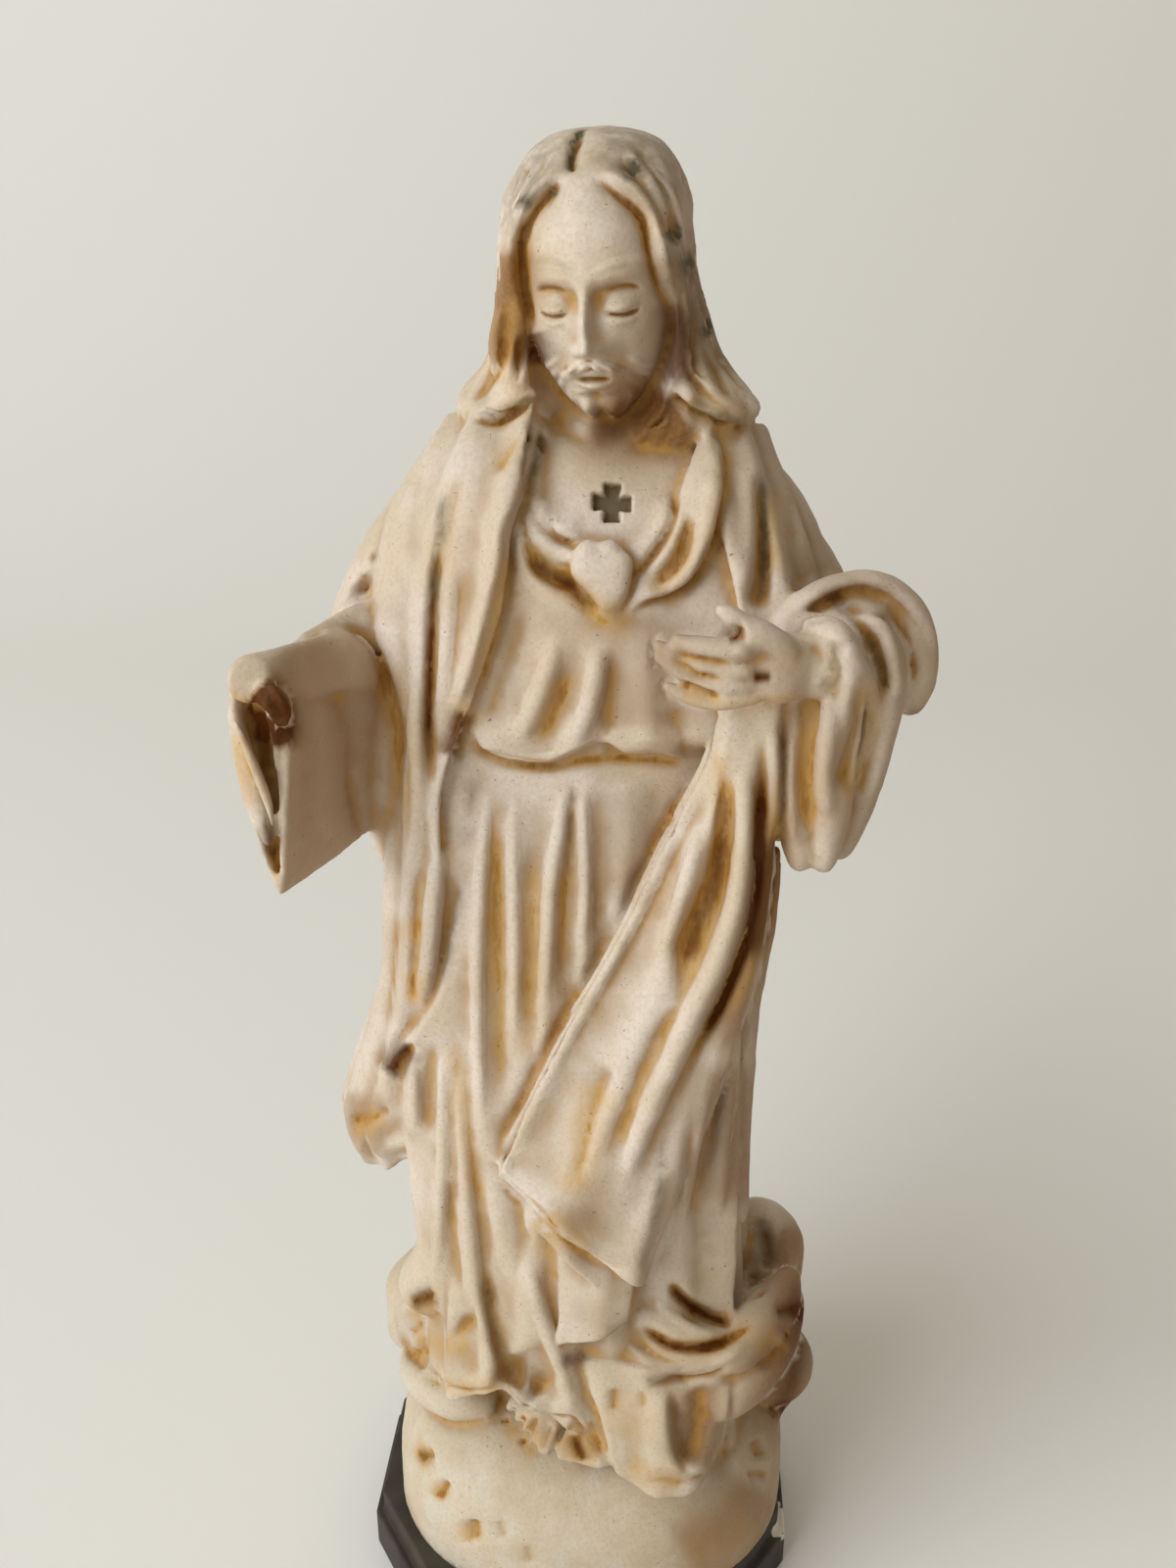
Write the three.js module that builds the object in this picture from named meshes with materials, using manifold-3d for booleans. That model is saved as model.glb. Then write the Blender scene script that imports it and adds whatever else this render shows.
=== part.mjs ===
// A cast plaster statue of a robed, bearded figure with a hand before its heart, on its own octagonal plinth.
// Millimetres, +Z up, the figure faces -Y, and the origin is the centre of the plinth's underside.
import * as THREE from "three";
import { mergeVertices } from "three/addons/utils/BufferGeometryUtils.js";
import Module from "manifold-3d";

const wasm = await Module();
wasm.setup();

// Driving dimensions
const figureHeight = 300; // crown to soles
const plinthWidth = 110;
const plinthDepth = 98;
const plinthHeight = 18;
const plinthChamferAcross = 21; // how much of the width a cut corner takes
const plinthChamferDeep = 32; // how much of the depth a cut corner takes
const plinthStepDown = 7; // the groove's depth below the top edge
const plinthStepIn = 2; // how far the upper band stands back
const moundHeight = 36; // plinth top to soles
const moundInX = 3.5; // the mound's foot stays this far inside the plinth's sides
const moundInY = 1.5;
const figureAside = 1.4; // the figure stands this far from the plinth's middle
const crossWidth = 7.5;
const crossBar = 2.7;
const crossDepth = 2;
const sleeveWall = 2.6; // the cloth at the open cuff
const sleevePocket = 24; // how deep the open cuff is hollow

// The figure is drawn in 300ths of its own height, from the soles up.
const unit = figureHeight / 300;
const soles = plinthHeight + moundHeight;

const vec = (p) => new THREE.Vector3(p[0], p[1], p[2]);
const clamp = (x, lo, hi) => Math.min(hi, Math.max(lo, x));
const bump = (x) => Math.exp(-x * x);
const smooth = (x) => {
  const t = clamp(x, 0, 1);
  return t * t * (3 - 2 * t);
};
const rad = Math.PI / 180;
// A turn from the front, with the sides of a skin crowded towards it.
const frontward = (turn, share) => turn - share * Math.sin(turn);

// The reach of a squarish oval at a turn from its front: power 2 is a plain ellipse.
const squareRound = (turn, half, deep, power) =>
  (Math.abs(Math.sin(turn) / half) ** power + Math.abs(Math.cos(turn) / deep) ** power) ** (-1 / power);

// The smooth value at share t of a row of equal-length lists, evenly spaced.
function along(rows, t) {
  const last = rows.length - 1;
  const s = clamp(t, 0, 1) * last;
  const i = Math.min(Math.floor(s), last - 1);
  const f = s - i;
  const [a, b, c, d] = [i - 1, i, i + 1, i + 2].map((k) => rows[clamp(k, 0, last)]);
  return b.map((q, n) => {
    const m0 = (c[n] - a[n]) / 2;
    const m1 = (d[n] - q) / 2;
    const f2 = f * f;
    const f3 = f2 * f;
    return (2 * f3 - 3 * f2 + 1) * q + (f3 - 2 * f2 + f) * m0 + (3 * f2 - 2 * f3) * c[n] + (f3 - f2) * m1;
  });
}

// A closed three.js geometry as a solid, each corner moved by the function place.
function solid(geometry, place) {
  const g = geometry.index ? geometry.toNonIndexed() : geometry.clone();
  g.deleteAttribute("normal");
  g.deleteAttribute("uv");
  const at = g.getAttribute("position");
  const p = new THREE.Vector3();
  if (place)
    for (let i = 0; i < at.count; i++) {
      const q = place(p.fromBufferAttribute(at, i));
      at.setXYZ(i, q.x, q.y, q.z);
    }
  const merged = mergeVertices(g, 1e-4);
  const make = (triVerts) =>
    new wasm.Manifold(
      new wasm.Mesh({ numProp: 3, vertProperties: merged.attributes.position.array, triVerts }),
    );
  const faces = new Uint32Array(merged.index.array);
  const made = make(faces);
  return made.volume() > 0 ? made : make(faces.slice().reverse());
}

// A skin round oval sections, flat at both ends. A row holds the section's centre, its half-axis across, its
// half-axis up, and how much narrower it is at its lower side.
function loft(rows, sides, steps, carve = () => 0) {
  return solid(new THREE.CylinderGeometry(1, 1, 1, sides, steps), (p) => {
    const t = 0.5 - p.y;
    const k = along(rows, t);
    const lean = 1 - (k[9] ?? 0) * (1 - p.z) * 0.5;
    const swell = 1 + carve(Math.atan2(p.x, p.z), t);
    return vec(k)
      .addScaledVector(vec(k.slice(3, 6)), p.x * lean * swell)
      .addScaledVector(vec(k.slice(6, 9)), p.z * swell);
  });
}

// A round-ended limb along points [x, y, z, radius]. It is flat times as thick along the direction press.
function limb(rows, sides, steps, flat = 1, press = [0, 1, 0], carve = () => 0) {
  return solid(new THREE.SphereGeometry(1, sides, steps), (p) => {
    const t = (1 - p.y) / 2;
    const ring = Math.hypot(p.x, p.z);
    const turn = Math.atan2(p.z, p.x);
    const here = along(rows, t);
    const way = vec(along(rows, t + 0.02)).sub(vec(along(rows, t - 0.02))).normalize();
    const side = new THREE.Vector3().crossVectors(vec(press), way).normalize();
    const up = new THREE.Vector3().crossVectors(way, side);
    const r = here[3] * Math.sqrt(ring) * (1 + carve(turn, t));
    return vec(here)
      .addScaledVector(side, r * Math.cos(turn))
      .addScaledVector(up, r * flat * Math.sin(turn));
  });
}

// Cloth laid over rows of points, each from left to right, with folds that lift it along its own normal.
function cloth(rows, thick, across, down, lift = () => 0) {
  const spot = (u, v) => vec(along(rows.map((r) => along(r, u)), v));
  return solid(new THREE.BoxGeometry(1, 1, 1, across, down, 1), (p) => {
    const u = p.x + 0.5;
    const v = 0.5 - p.y;
    const du = spot(Math.min(u + 0.02, 1), v).sub(spot(Math.max(u - 0.02, 0), v));
    const dv = spot(u, Math.min(v + 0.02, 1)).sub(spot(u, Math.max(v - 0.02, 0)));
    const out = new THREE.Vector3().crossVectors(dv, du).normalize();
    if (out.y > 0) out.negate();
    const high = lift(u, v);
    return spot(u, v).addScaledVector(out, p.z > 0 ? high : Math.min(high, 0) - thick);
  });
}

// Folds across a piece of cloth: each is [place at the top, place at the bottom, height, half-width].
const folds = (list) => (u, v) =>
  list.reduce((sum, [top, foot, high, wide]) => sum + high * bump((u - top - (foot - top) * v) / wide), 0);

// The robe's body: height, middle, half-width, front and back, from the neck down to the hem.
const tunicRows = [
  [246, 4, 15, 11, 14],
  [236, 4, 27, 22, 22],
  [220, 4, 31, 29, 25],
  [203, 3, 29, 30.5, 25],
  [186, 3, 27.5, 30, 24],
  [178, 3, 24.5, 25.5, 23],
  [160, 2, 27, 27, 24],
  [135, 1, 30, 28.5, 26],
  [105, 1, 32, 30, 28],
  [75, 0, 35, 32, 30],
  [45, 0, 37.5, 34.5, 32],
  [18, 0, 39, 37, 34],
  [-6, 1, 40, 38, 35],
];

const beltHeight = 180;
const hemLift = 27; // how far the hem rises over the right foot

// A fold of the skirt: its turn from the front at the belt and at the hem in degrees, height and half-width.
const skirtFolds = [
  [-66, -70, 2.4, 8],
  [-42, -47, 3.2, 6],
  [-27, -33, 2.2, 5],
  [-12, -20, 2.6, 6],
  [1, -4, 2, 5],
  [14, 12, 1.6, 6],
  [34, 40, 1.6, 8],
  [50, 56, 2.6, 6],
  [64, 74, 2.4, 6],
];

function tunic() {
  const top = tunicRows[0][0];
  const foot = tunicRows.at(-1)[0];
  return solid(new THREE.CylinderGeometry(1, 1, 1, 34, 13), (p) => {
    const ring = Math.hypot(p.x, p.z);
    const turn = frontward(Math.atan2(p.x, p.z), 0.45) / rad;
    const [height, middle, half, front, back] = along(tunicRows, 0.5 - p.y);
    const below = clamp((beltHeight - height) / (beltHeight - foot), 0, 1);
    const skirt = skirtFolds.reduce(
      (sum, [a, b, high, wide]) => sum + high * bump((turn - a - (b - a) * below) / wide),
      0,
    );
    const blouse = 1.1 * Math.cos((turn + 12) * 15 * rad) * bump((height - 196) / 14);
    const out = skirt * smooth(below * 5) + blouse;
    const depth = Math.abs(turn) < 90 ? front : back;
    const rise = hemLift * smooth((top - height) / (top - foot) * 8 - 7) * bump((turn + 24) / 20);
    return vec([
      middle + ring * Math.sin(turn * rad) * (half + out),
      -ring * Math.cos(turn * rad) * (depth + out),
      height + rise,
    ]);
  });
}

// The mantle over the back and both shoulders.
const mantleRows = [
  [251, 4, 11, 9, 13],
  [243, 4, 26, 13, 20],
  [233, 4, 38, 16, 26],
  [220, 4, 46, 17, 30],
  [206, 3, 49, 16, 32],
  [188, 2, 48, 14, 33],
  [168, 0, 45, 13, 34],
  [145, -2, 42, 12, 35],
  [118, -4, 40.5, 10, 36],
  [90, -3, 40, 10, 38],
  [60, 0, 38.5, 10, 39],
  [30, 0, 40, 10, 40],
  [4, 0, 41, 8, 41],
];

const mantlePleats = 9; // waves round the back

function mantle() {
  return solid(new THREE.CylinderGeometry(1, 1, 1, 26, 11), (p) => {
    const t = 0.5 - p.y;
    const [height, middle, half, front, back] = along(mantleRows, t);
    const turn = -frontward(Math.atan2(-p.x, -p.z), 0.35);
    const lift = 1.8 * Math.cos(turn * mantlePleats + 0.8 * Math.sin(t * 5)) * smooth(t * 3 - 0.5);
    const ring = Math.hypot(p.x, p.z);
    const depth = Math.cos(turn) < 0 ? front : back;
    return vec([
      middle + ring * Math.sin(turn) * (half + lift),
      ring * Math.cos(turn) * (depth + lift),
      height,
    ]);
  });
}

// The mantle's front edge on the figure's right side, from the neck to its hanging tip.
function rightLapel() {
  const rows = [
    [[-30, 4, 242], [-20, -14, 249], [-8, -18, 251]],
    [[-42, -4, 226], [-27, -25, 230], [-12, -29, 231]],
    [[-46, -10, 207], [-32, -27, 210], [-14, -32, 213]],
    [[-42, -14, 190], [-33, -28, 192], [-20, -32, 194]],
    [[-41, -14, 171], [-36, -27, 172], [-28, -29, 173]],
    [[-45, -12, 146], [-38, -25, 147], [-29, -28, 149]],
    [[-48, -9, 120], [-41, -23, 119], [-33, -27, 124]],
    [[-57, -5, 94], [-48, -18, 92], [-37, -25, 97]],
    [[-61.5, -4, 78], [-52, -15, 78], [-38, -22, 84]],
    [[-58, -3, 65], [-50, -10, 64], [-39.5, -18, 75]],
  ];
  const ridges = folds([[0.9, 0.9, 2.4, 0.12], [0.55, 0.62, 2.4, 0.12], [0.2, 0.3, 2.4, 0.12]]);
  return cloth(rows, 9, 9, 11, ridges);
}

// The mantle's left edge, from the neck down to the rolled cloth on the forearm.
function leftLapel() {
  const rows = [
    [[22, -17, 247], [30, -10, 246], [36, -1, 243]],
    [[27, -27, 226], [36, -20, 227], [43, -6, 227]],
    [[31, -32, 210], [39, -28, 212], [48, -12, 213]],
    [[33, -33, 198], [41, -32, 200], [50, -20, 202]],
  ];
  return cloth(rows, 8, 7, 5, folds([[0.1, 0.1, 1.6, 0.12], [0.5, 0.55, 2.2, 0.14], [0.9, 0.9, 1.6, 0.12]]));
}

// The mantle's other edge, brought from the left forearm slantwise over the front, and the layer under it.
function frontDrape() {
  const over = [
    [[27, -32, 194], [34, -36, 197], [42, -31, 196]],
    [[21.5, -31.5, 168.5], [32, -38, 169], [41, -30, 167]],
    [[9.5, -33, 142.5], [26, -39, 141], [40, -30, 139]],
    [[-2, -34.5, 118], [17, -40, 114], [34, -32, 112]],
    [[-11, -36, 99], [7, -41, 91], [25, -34, 84]],
    [[-18, -37.5, 84], [-3, -42, 70.5], [15, -39, 56]],
  ];
  const under = [
    [[-10, -37, 80], [5, -40, 80], [22, -36, 84]],
    [[-6, -38, 58], [8, -41, 58], [24, -37, 62]],
    [[-5, -38.5, 33], [8, -42, 38], [24, -38, 43]],
  ];
  return [
    cloth(over, 11, 8, 9, folds([[0.02, 0.02, 1.6, 0.07], [0.3, 0.42, 1.6, 0.1], [0.7, 0.86, 4, 0.13]])),
    cloth(under, 11, 7, 4, folds([[0.04, 0.04, 1.6, 0.1], [0.42, 0.38, 2.4, 0.14], [0.85, 0.8, 2, 0.12]])),
  ];
}

// Rows for a hanging sleeve from the elbow to the cuff: centre, half-thickness, half-height and taper.
const rightSleeveRows = [
  [-36, -4, 184, 10, 4, 0, 0, 0, 24, 0.2],
  [-46, -18, 183, 10, 4, 0, 0, 0, 25, 0.3],
  [-55, -34, 181, 8, 2.5, 0, 0, -1, 25, 0.4],
  [-61.5, -48, 180, 6.5, -1, 0, -1, -2, 24.5, 0.55],
];

function rightSleeve() {
  const outer = loft(rightSleeveRows, 14, 5, (turn, t) => 0.05 * Math.cos(turn * 3 + t * 4));
  const reach = sleevePocket / unit / 58; // share of the sleeve's own length
  const inner = [1 - reach, 1 - reach / 2, 1, 1.08].map((t) => {
    const k = along(rightSleeveRows, t);
    const thin = 1 - sleeveWall / unit / Math.hypot(k[3], k[4]);
    const low = 1 - sleeveWall / unit / k[8];
    const push = t > 1 ? [-2, -5, 0] : [0, 0, 0];
    return k.map((q, n) => (n < 3 ? q + push[n] : n < 6 ? q * thin : n < 9 ? q * low : q));
  });
  const behind = limb(
    [[-46, -8, 204, 8], [-44, -17, 188, 8], [-43, -18, 168, 7], [-45, -13, 148, 3]],
    8, 7, 0.7,
  );
  return outer.subtract(loft(inner, 12, 3)).add(behind);
}

// What is left of the right forearm: a wrist broken off flush with the cuff.
const rightStump = () => loft(
  [
    [-48, -24, 197, 7, 2, 0, 0, 0, 8, 0],
    [-55, -40, 200, 5.4, 2, 0, 0, 0, 6, 0],
    [-61, -53, 203, 3.9, 1, 0, 0, 1.5, 4.4, 0],
  ],
  8,
  2,
);

const leftSleeve = () => loft(
  [
    [62, 0, 186, 4, 9, 0, 0, 0, 20, 0.1],
    [58, -14, 181, 7, 8, 0, 0, 0, 25, 0.1],
    [52, -26, 181, 7, 6, 0, 0, 0, 26, 0.1],
    [46, -33, 185, 5, 4, 0, 0, 0, 25, 0.2],
  ],
  14,
  5,
  (turn, t) => 0.06 * Math.cos(turn * 5 + t * 3),
);

// The upper arms, covered by the mantle.
const upperArms = () => [
  limb([[-21, 6, 236, 12], [-34, 4, 219, 12], [-45, 0, 203, 11], [-50, -13, 194, 9]], 10, 5, 1.4),
  limb([[25, 6, 234, 12], [37, 4, 218, 12], [47, 1, 203, 12], [56, -6, 194, 10]], 10, 5, 1.4),
];

// The mantle rolled over the left forearm: an outer roll and the cloth that shows inside it.
const armRolls = () => [
  limb([[37, -30, 203, 4], [43, -29, 209, 6], [52, -24, 212, 6.5], [60, -20, 210.5, 6.5], [66, -18, 204, 6.2],
    [68.5, -16, 194, 5.8], [68, -15, 186, 4.5]], 8, 12, 0.8, [0, 1, 0.2]),
  limb([[49, -32, 208, 3], [56, -29, 207, 4], [61, -27, 201, 4.5], [62, -25, 190, 4]], 7, 7, 0.7),
];

// The left hand: wrist, palm, four fingers and the thumb, each [x, y, z, radius] along it.
function leftHand() {
  const pieces = [
    [[[54, -31, 203, 5.5], [47, -36, 204, 5.8], [42, -39, 204, 6]], 8, 4, 0.8],
    [[[46, -38, 204, 5.5], [39, -41, 203.5, 7.6], [32, -42, 203.5, 5.5]], 8, 5, 0.55],
    [[[37, -43, 208, 2.4], [27, -44.5, 208.5, 2.3], [15, -42.5, 208, 1.9]], 6, 4, 1],
    [[[37, -43.5, 204.6, 2.4], [27, -45.5, 204.2, 2.3], [15.5, -43, 205, 1.9]], 6, 4, 1],
    [[[37, -43.5, 201.2, 2.3], [27, -45.5, 200.3, 2.2], [17.5, -43.5, 202, 1.8]], 6, 4, 1],
    [[[38, -43, 198.2, 2.2], [28, -44.5, 196.6, 2.1], [19, -43, 198.8, 1.7]], 6, 4, 1],
    [[[41, -42, 206, 3], [34, -44.5, 211, 2.6], [26, -45.5, 216.5, 2]], 6, 5, 1],
  ];
  return pieces.map(([rows, sides, steps, flat]) => limb(rows, sides, steps, flat));
}

// The head in its own frame: +Z up, facing -Y, with the eyes at half its height.
const headHeight = 50;
const headHalf = 0.32; // half of its width, and its depths from the middle, as shares of its height
const headFront = 0.42;
const headBack = 0.44;
const facing = -0.14; // the head's turn to its right
const headPlace = new THREE.Matrix4()
  .makeTranslation(3, -9, 273)
  .multiply(new THREE.Matrix4().makeRotationFromEuler(new THREE.Euler(0.14, -0.04, facing, "ZYX")));

// Each feature: place across and up, half-width, half-height and how far it stands out, all as shares.
const features = [
  [0, 0.06, 0.2, 0.045, 0.012], // brow
  [-0.13, -0.01, 0.07, 0.045, -0.028], // eye sockets
  [0.13, -0.01, 0.07, 0.045, -0.028],
  [-0.13, -0.02, 0.045, 0.03, 0.026], // eyeballs under lowered lids
  [0.13, -0.02, 0.045, 0.03, 0.026],
  [0, -0.07, 0.03, 0.1, 0.05], // nose
  [0, -0.17, 0.045, 0.035, 0.06],
  [-0.17, -0.13, 0.09, 0.07, 0.015], // cheeks
  [0.17, -0.13, 0.09, 0.07, 0.015],
  [0, -0.26, 0.12, 0.03, 0.025], // moustache
  [0, -0.325, 0.07, 0.02, 0.02], // lower lip
  [-0.045, -0.43, 0.05, 0.06, 0.06], // forked beard
  [0.045, -0.43, 0.05, 0.06, 0.06],
];

function head() {
  return solid(new THREE.SphereGeometry(1, 22, 18), (p) => {
    const turn = frontward(Math.atan2(p.x, p.z), 0.5);
    const rise = 0.5 * p.y + 0.5 * (1 - (2 * Math.acos(clamp(p.y, -1, 1))) / Math.PI);
    const ring = Math.sqrt(1 - rise * rise);
    const jaw = smooth((-rise - 0.1) / 0.9);
    const x = ring * Math.sin(turn) * headHalf * (1 - 0.22 * jaw);
    const deep = Math.abs(turn) < Math.PI / 2 ? headFront - 0.02 * jaw : headBack - 0.2 * jaw;
    const face = smooth(Math.cos(turn) * 1.6) * smooth(ring * 4);
    const z = rise * 0.5;
    const out = features.reduce(
      (sum, [cx, cz, w, h, far]) => sum + far * bump((x - cx) / w) * bump((z - cz) / h),
      0,
    );
    return vec([x, -ring * Math.cos(turn) * deep - out * face, z])
      .multiplyScalar(headHeight)
      .applyMatrix4(headPlace);
  });
}

const neck = () => limb([[3, -2, 230, 9], [3, -4, 242, 9], [3, -6, 256, 9], [3, -6, 264, 8]], 9, 4);

// The hair from the crown to the shoulders: height, middle, half-width, front and back.
const hairRows = [
  [300, 3.5, 0.1, 0.1, 0.1],
  [297.5, 3, 11, 12, 13],
  [290, 2.5, 16.5, 20, 20],
  [280, 2.5, 18.3, 23.5, 24],
  [269, 3, 19.2, 24, 25],
  [258, 3.5, 22, 22, 26],
  [249, 5, 29.5, 18, 27],
  [242, 5, 27, 13, 27],
  [232, 4, 8, 5, 12],
];
const hairMiddle = -5; // depth of the middle of the head
const hairPower = 2.4;
const faceGap = { middle: [0.5, -29, 262], half: [13.8, 19, 29.5], tilt: 0.04 }; // what the hair leaves open

function hair() {
  const shell = solid(new THREE.SphereGeometry(1, 24, 13), (p) => {
    const t = Math.acos(clamp(p.y, -1, 1)) / Math.PI;
    const [height, middle, half, front, back] = along(hairRows, t);
    const turn = frontward(Math.atan2(p.x, p.z), 0.2);
    const deep = Math.abs(turn) < Math.PI / 2 ? front : back;
    const round = squareRound(turn, half, deep, hairPower);
    const off = Math.abs(turn - facing);
    const waves = 0.05 * Math.cos(off * 6 + Math.sin(height * 0.22)) * smooth(t * 6 - 0.8);
    const parting = 0.05 * bump(off / 0.16) * smooth(2 - t * 4);
    const reach = round * (1 + waves - parting) * smooth(Math.hypot(p.x, p.z) * 6);
    return vec([middle + reach * Math.sin(turn), hairMiddle - reach * Math.cos(turn), height]);
  });
  const gap = solid(new THREE.SphereGeometry(1, 12, 8), (p) => {
    const square = Math.hypot(p.x, p.y) ** -0.2;
    const x = p.x * faceGap.half[0] * square;
    const z = p.y * faceGap.half[2] * square;
    return vec([x + z * faceGap.tilt, -p.z * faceGap.half[1], z]).add(vec(faceGap.middle));
  });
  return shell.subtract(gap);
}

const backHair = () => limb(
  [[4, 10, 252, 16], [4, 17, 240, 20], [4, 21, 226, 18], [4, 23, 214, 12], [4, 23, 206, 4]],
  12, 6, 0.5, [0, 1, 0], (turn) => 0.05 * Math.cos(turn * 6));

// The loose collar in a U across the chest, and the heart at its lowest point.
const collar = () => limb(
  [[-10, -21, 242, 4], [-11, -28, 229, 5], [-5, -31, 217, 5.5], [4, -32, 213, 5.5], [15, -31, 216, 6],
    [23, -27, 229, 6], [25, -19, 243, 4.5]],
  7, 11, 0.5);

const heartAt = [4, -33.5, 218];
const heartSize = [6.8, 4.2, 8.6]; // half-width, half-thickness and half-height
function heart() {
  return solid(new THREE.SphereGeometry(1, 10, 7), (p) => {
    const taper = 1 - 0.55 * smooth(-p.y * 0.9);
    const notch = 0.16 * bump(p.x / 0.3) * smooth(p.y);
    const [wide, thick, high] = heartSize;
    return vec([wide * p.x * taper, -thick * p.z, high * (p.y - notch)]).add(vec(heartAt));
  });
}

const crossAt = [6.2, -24, 230.8]; // on the chest above the heart
const chestLean = 0.58; // the chest leans back by this angle there
function crossCut() {
  const lean = new THREE.Matrix4().makeRotationX(-chestLean);
  const bar = (w, h) =>
    solid(new THREE.BoxGeometry(w / unit, 12, h / unit), (p) =>
      p.add(vec([0, crossDepth / unit - 6, 0])).applyMatrix4(lean).add(vec(crossAt)));
  return bar(crossWidth, crossBar).add(bar(crossBar, crossWidth));
}

// The two feet under the hem: heel, instep and ball, then the tips of the toes from one side to the other.
const feet = [
  {
    sole: [[2, -18, 12, 7], [-4, -24, 11, 7], [-9, -29, 7.5, 7.5], [-12.5, -32.5, 5, 6.5]],
    from: [-18.5, -28.5, 6.5],
    to: [-9, -39.5, 3.5],
  },
  {
    sole: [[6, -20, 10, 6], [4, -28, 8.5, 6.5], [1.5, -35, 5, 7], [0.5, -39, 3.5, 6]],
    from: [-5, -39.5, 2.8],
    to: [5, -43, 2.6],
  },
];
const toeRadius = 1.8;
function foot({ sole, from, to }) {
  const ball = vec(sole.at(-2));
  const toes = Array.from({ length: 5 }, (_, n) => {
    const tip = vec(from).lerp(vec(to), n / 4);
    const root = ball.clone().lerp(tip, 0.3);
    const r = toeRadius * (1 + 0.08 * n * n * 0.3);
    return limb([[...root.toArray(), r], [...tip.toArray(), r]], 6, 3);
  });
  return fuse([limb(sole, 8, 4, 0.7, [0, 0, 1]), ...toes]);
}

// The robe's hem where it trails to the figure's right, and over the mound beside the left foot.
const hemPool = () => [
  limb([[-28, -18, 76, 7], [-31, -18, 56, 8.5], [-34, -16, 40, 9.5], [-42, -10, 26, 11]], 10, 6),
  limb([[12, -30, 44, 5], [22, -33, 35, 6], [36, -31, 31, 6.5], [47, -19, 33, 6.5], [52, -10, 37, 4]], 8, 7),
  limb([[10, -32, 33, 5], [21, -36, 23, 6], [35, -34, 20, 6.5], [47, -22, 25, 6.5], [53, -11, 32, 4]], 8, 7),
  cloth(
    [
      [[0, -36, 31], [14, -39, 31], [27, -38, 31], [40, -30, 32]],
      [[5, -39, 16], [15, -42, 15], [27, -41, 15], [37, -32, 17]],
      [[8, -41, 3], [15, -43, -3], [25, -43, -4], [34, -35, 0]],
    ],
    14, 8, 4, folds([[0.1, 0.1, 1.6, 0.1], [0.46, 0.46, 1.6, 0.12], [0.8, 0.75, 2.4, 0.12]])),
];

// The mound, flat where it stands on the plinth, in the object's own frame.
const moundSquare = 2.3; // 2 would be a plain ellipse
const moundFlat = 4; // 2 would be a plain dome
const moundCentre = [2.4, 0];
function mound() {
  const halfWidth = plinthWidth / 2 - moundInX;
  const halfDepth = plinthDepth / 2 - moundInY;
  return solid(new THREE.SphereGeometry(1, 24, 8), (p) => {
    const ring = Math.hypot(p.x, p.z);
    const turn = Math.atan2(p.x, p.z);
    const round = squareRound(turn, 1, 1, moundSquare);
    const rise = p.y > 0 ? Math.max(0, 1 - ring ** moundFlat) ** (1 / moundFlat) : -0.3;
    return vec([
      moundCentre[0] + ring * Math.sin(turn) * round * halfWidth,
      moundCentre[1] - ring * Math.cos(turn) * round * halfDepth,
      plinthHeight + rise * moundHeight,
    ]);
  });
}

// The bank of cloud behind the feet: its middle, half-sizes and how far the figure's left side rises.
const bank = { middle: [1, 13, 1], half: [49, 35, 24], leftRise: 24 };

// The rim of cloud beside the right foot.
const cloudRim = [[-44, 4, 0, 6], [-42, -10, 1, 7.5], [-33, -18, 0, 7.5], [-22, -20, -1, 6]];

// Rolls of cloud from the figure's left round behind it to its right, each [x, y, z, radius] along it.
const cloudRolls = [
  [[45, -5, 25, 9], [45, 5, 27, 13.5], [37, 24, 15, 15], [10, 37, 8, 16], [-19, 35, 6, 16], [-38, 18, 4, 15],
    [-42, -1, 10, 13], [-38, -11, 10, 9]],
  [[42, -5, -22, 10], [46, 5, -15, 13], [40, 23, -9, 14], [13, 41, -10, 13], [-18, 39, -7, 13],
    [-38, 18, -6, 13], [-42, 1, -5, 10]],
];
const cloudLobes = 5; // swellings along a roll

const sidePuff = { middle: [48, 3, -4], half: [12.5, 12.5, 11] }; // between the rolls, at the figure's left

function clouds() {
  const ball = (middle, half, sides, steps, rise = 0) =>
    solid(new THREE.SphereGeometry(1, sides, steps), (p) => {
      const side = Math.max(p.x, 0) * Math.max(p.y, 0) * rise;
      return vec([p.x * half[0], p.z * half[1], p.y * half[2] + side]).add(vec(middle));
    });
  const lobes = (turn, t) =>
    0.18 * Math.cos(2 * Math.PI * cloudLobes * t + 0.6 * Math.sin(turn)) + 0.05 * Math.cos(turn * 3);
  return [
    ball(bank.middle, bank.half, 22, 6, bank.leftRise),
    ball(sidePuff.middle, sidePuff.half, 8, 6),
    limb(cloudRim, 8, 6, 0.8, [0, 0, 1]),
    ...cloudRolls.map((rows) => limb(rows, 10, 22, 1, [0, 0, 1], lobes)),
  ];
}

function fuse(pieces) {
  return pieces.reduce((a, b) => a.add(b));
}

function statueSolid() {
  const figure = fuse([
    tunic(),
    mantle(),
    rightLapel(),
    leftLapel(),
    ...frontDrape(),
    ...upperArms(),
    rightSleeve(),
    rightStump(),
    leftSleeve(),
    ...armRolls(),
    ...leftHand(),
    neck(),
    head(),
    hair(),
    backHair(),
    collar(),
    heart(),
    ...feet.map(foot),
    ...hemPool(),
    ...clouds(),
  ]).subtract(crossCut());
  const ground = solid(new THREE.BoxGeometry(400, 400, 200), (p) => p.add(vec([0, 0, plinthHeight - 100])));
  return figure.scale([unit, unit, unit]).translate([figureAside, 0, soles]).add(mound()).subtract(ground);
}

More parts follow.
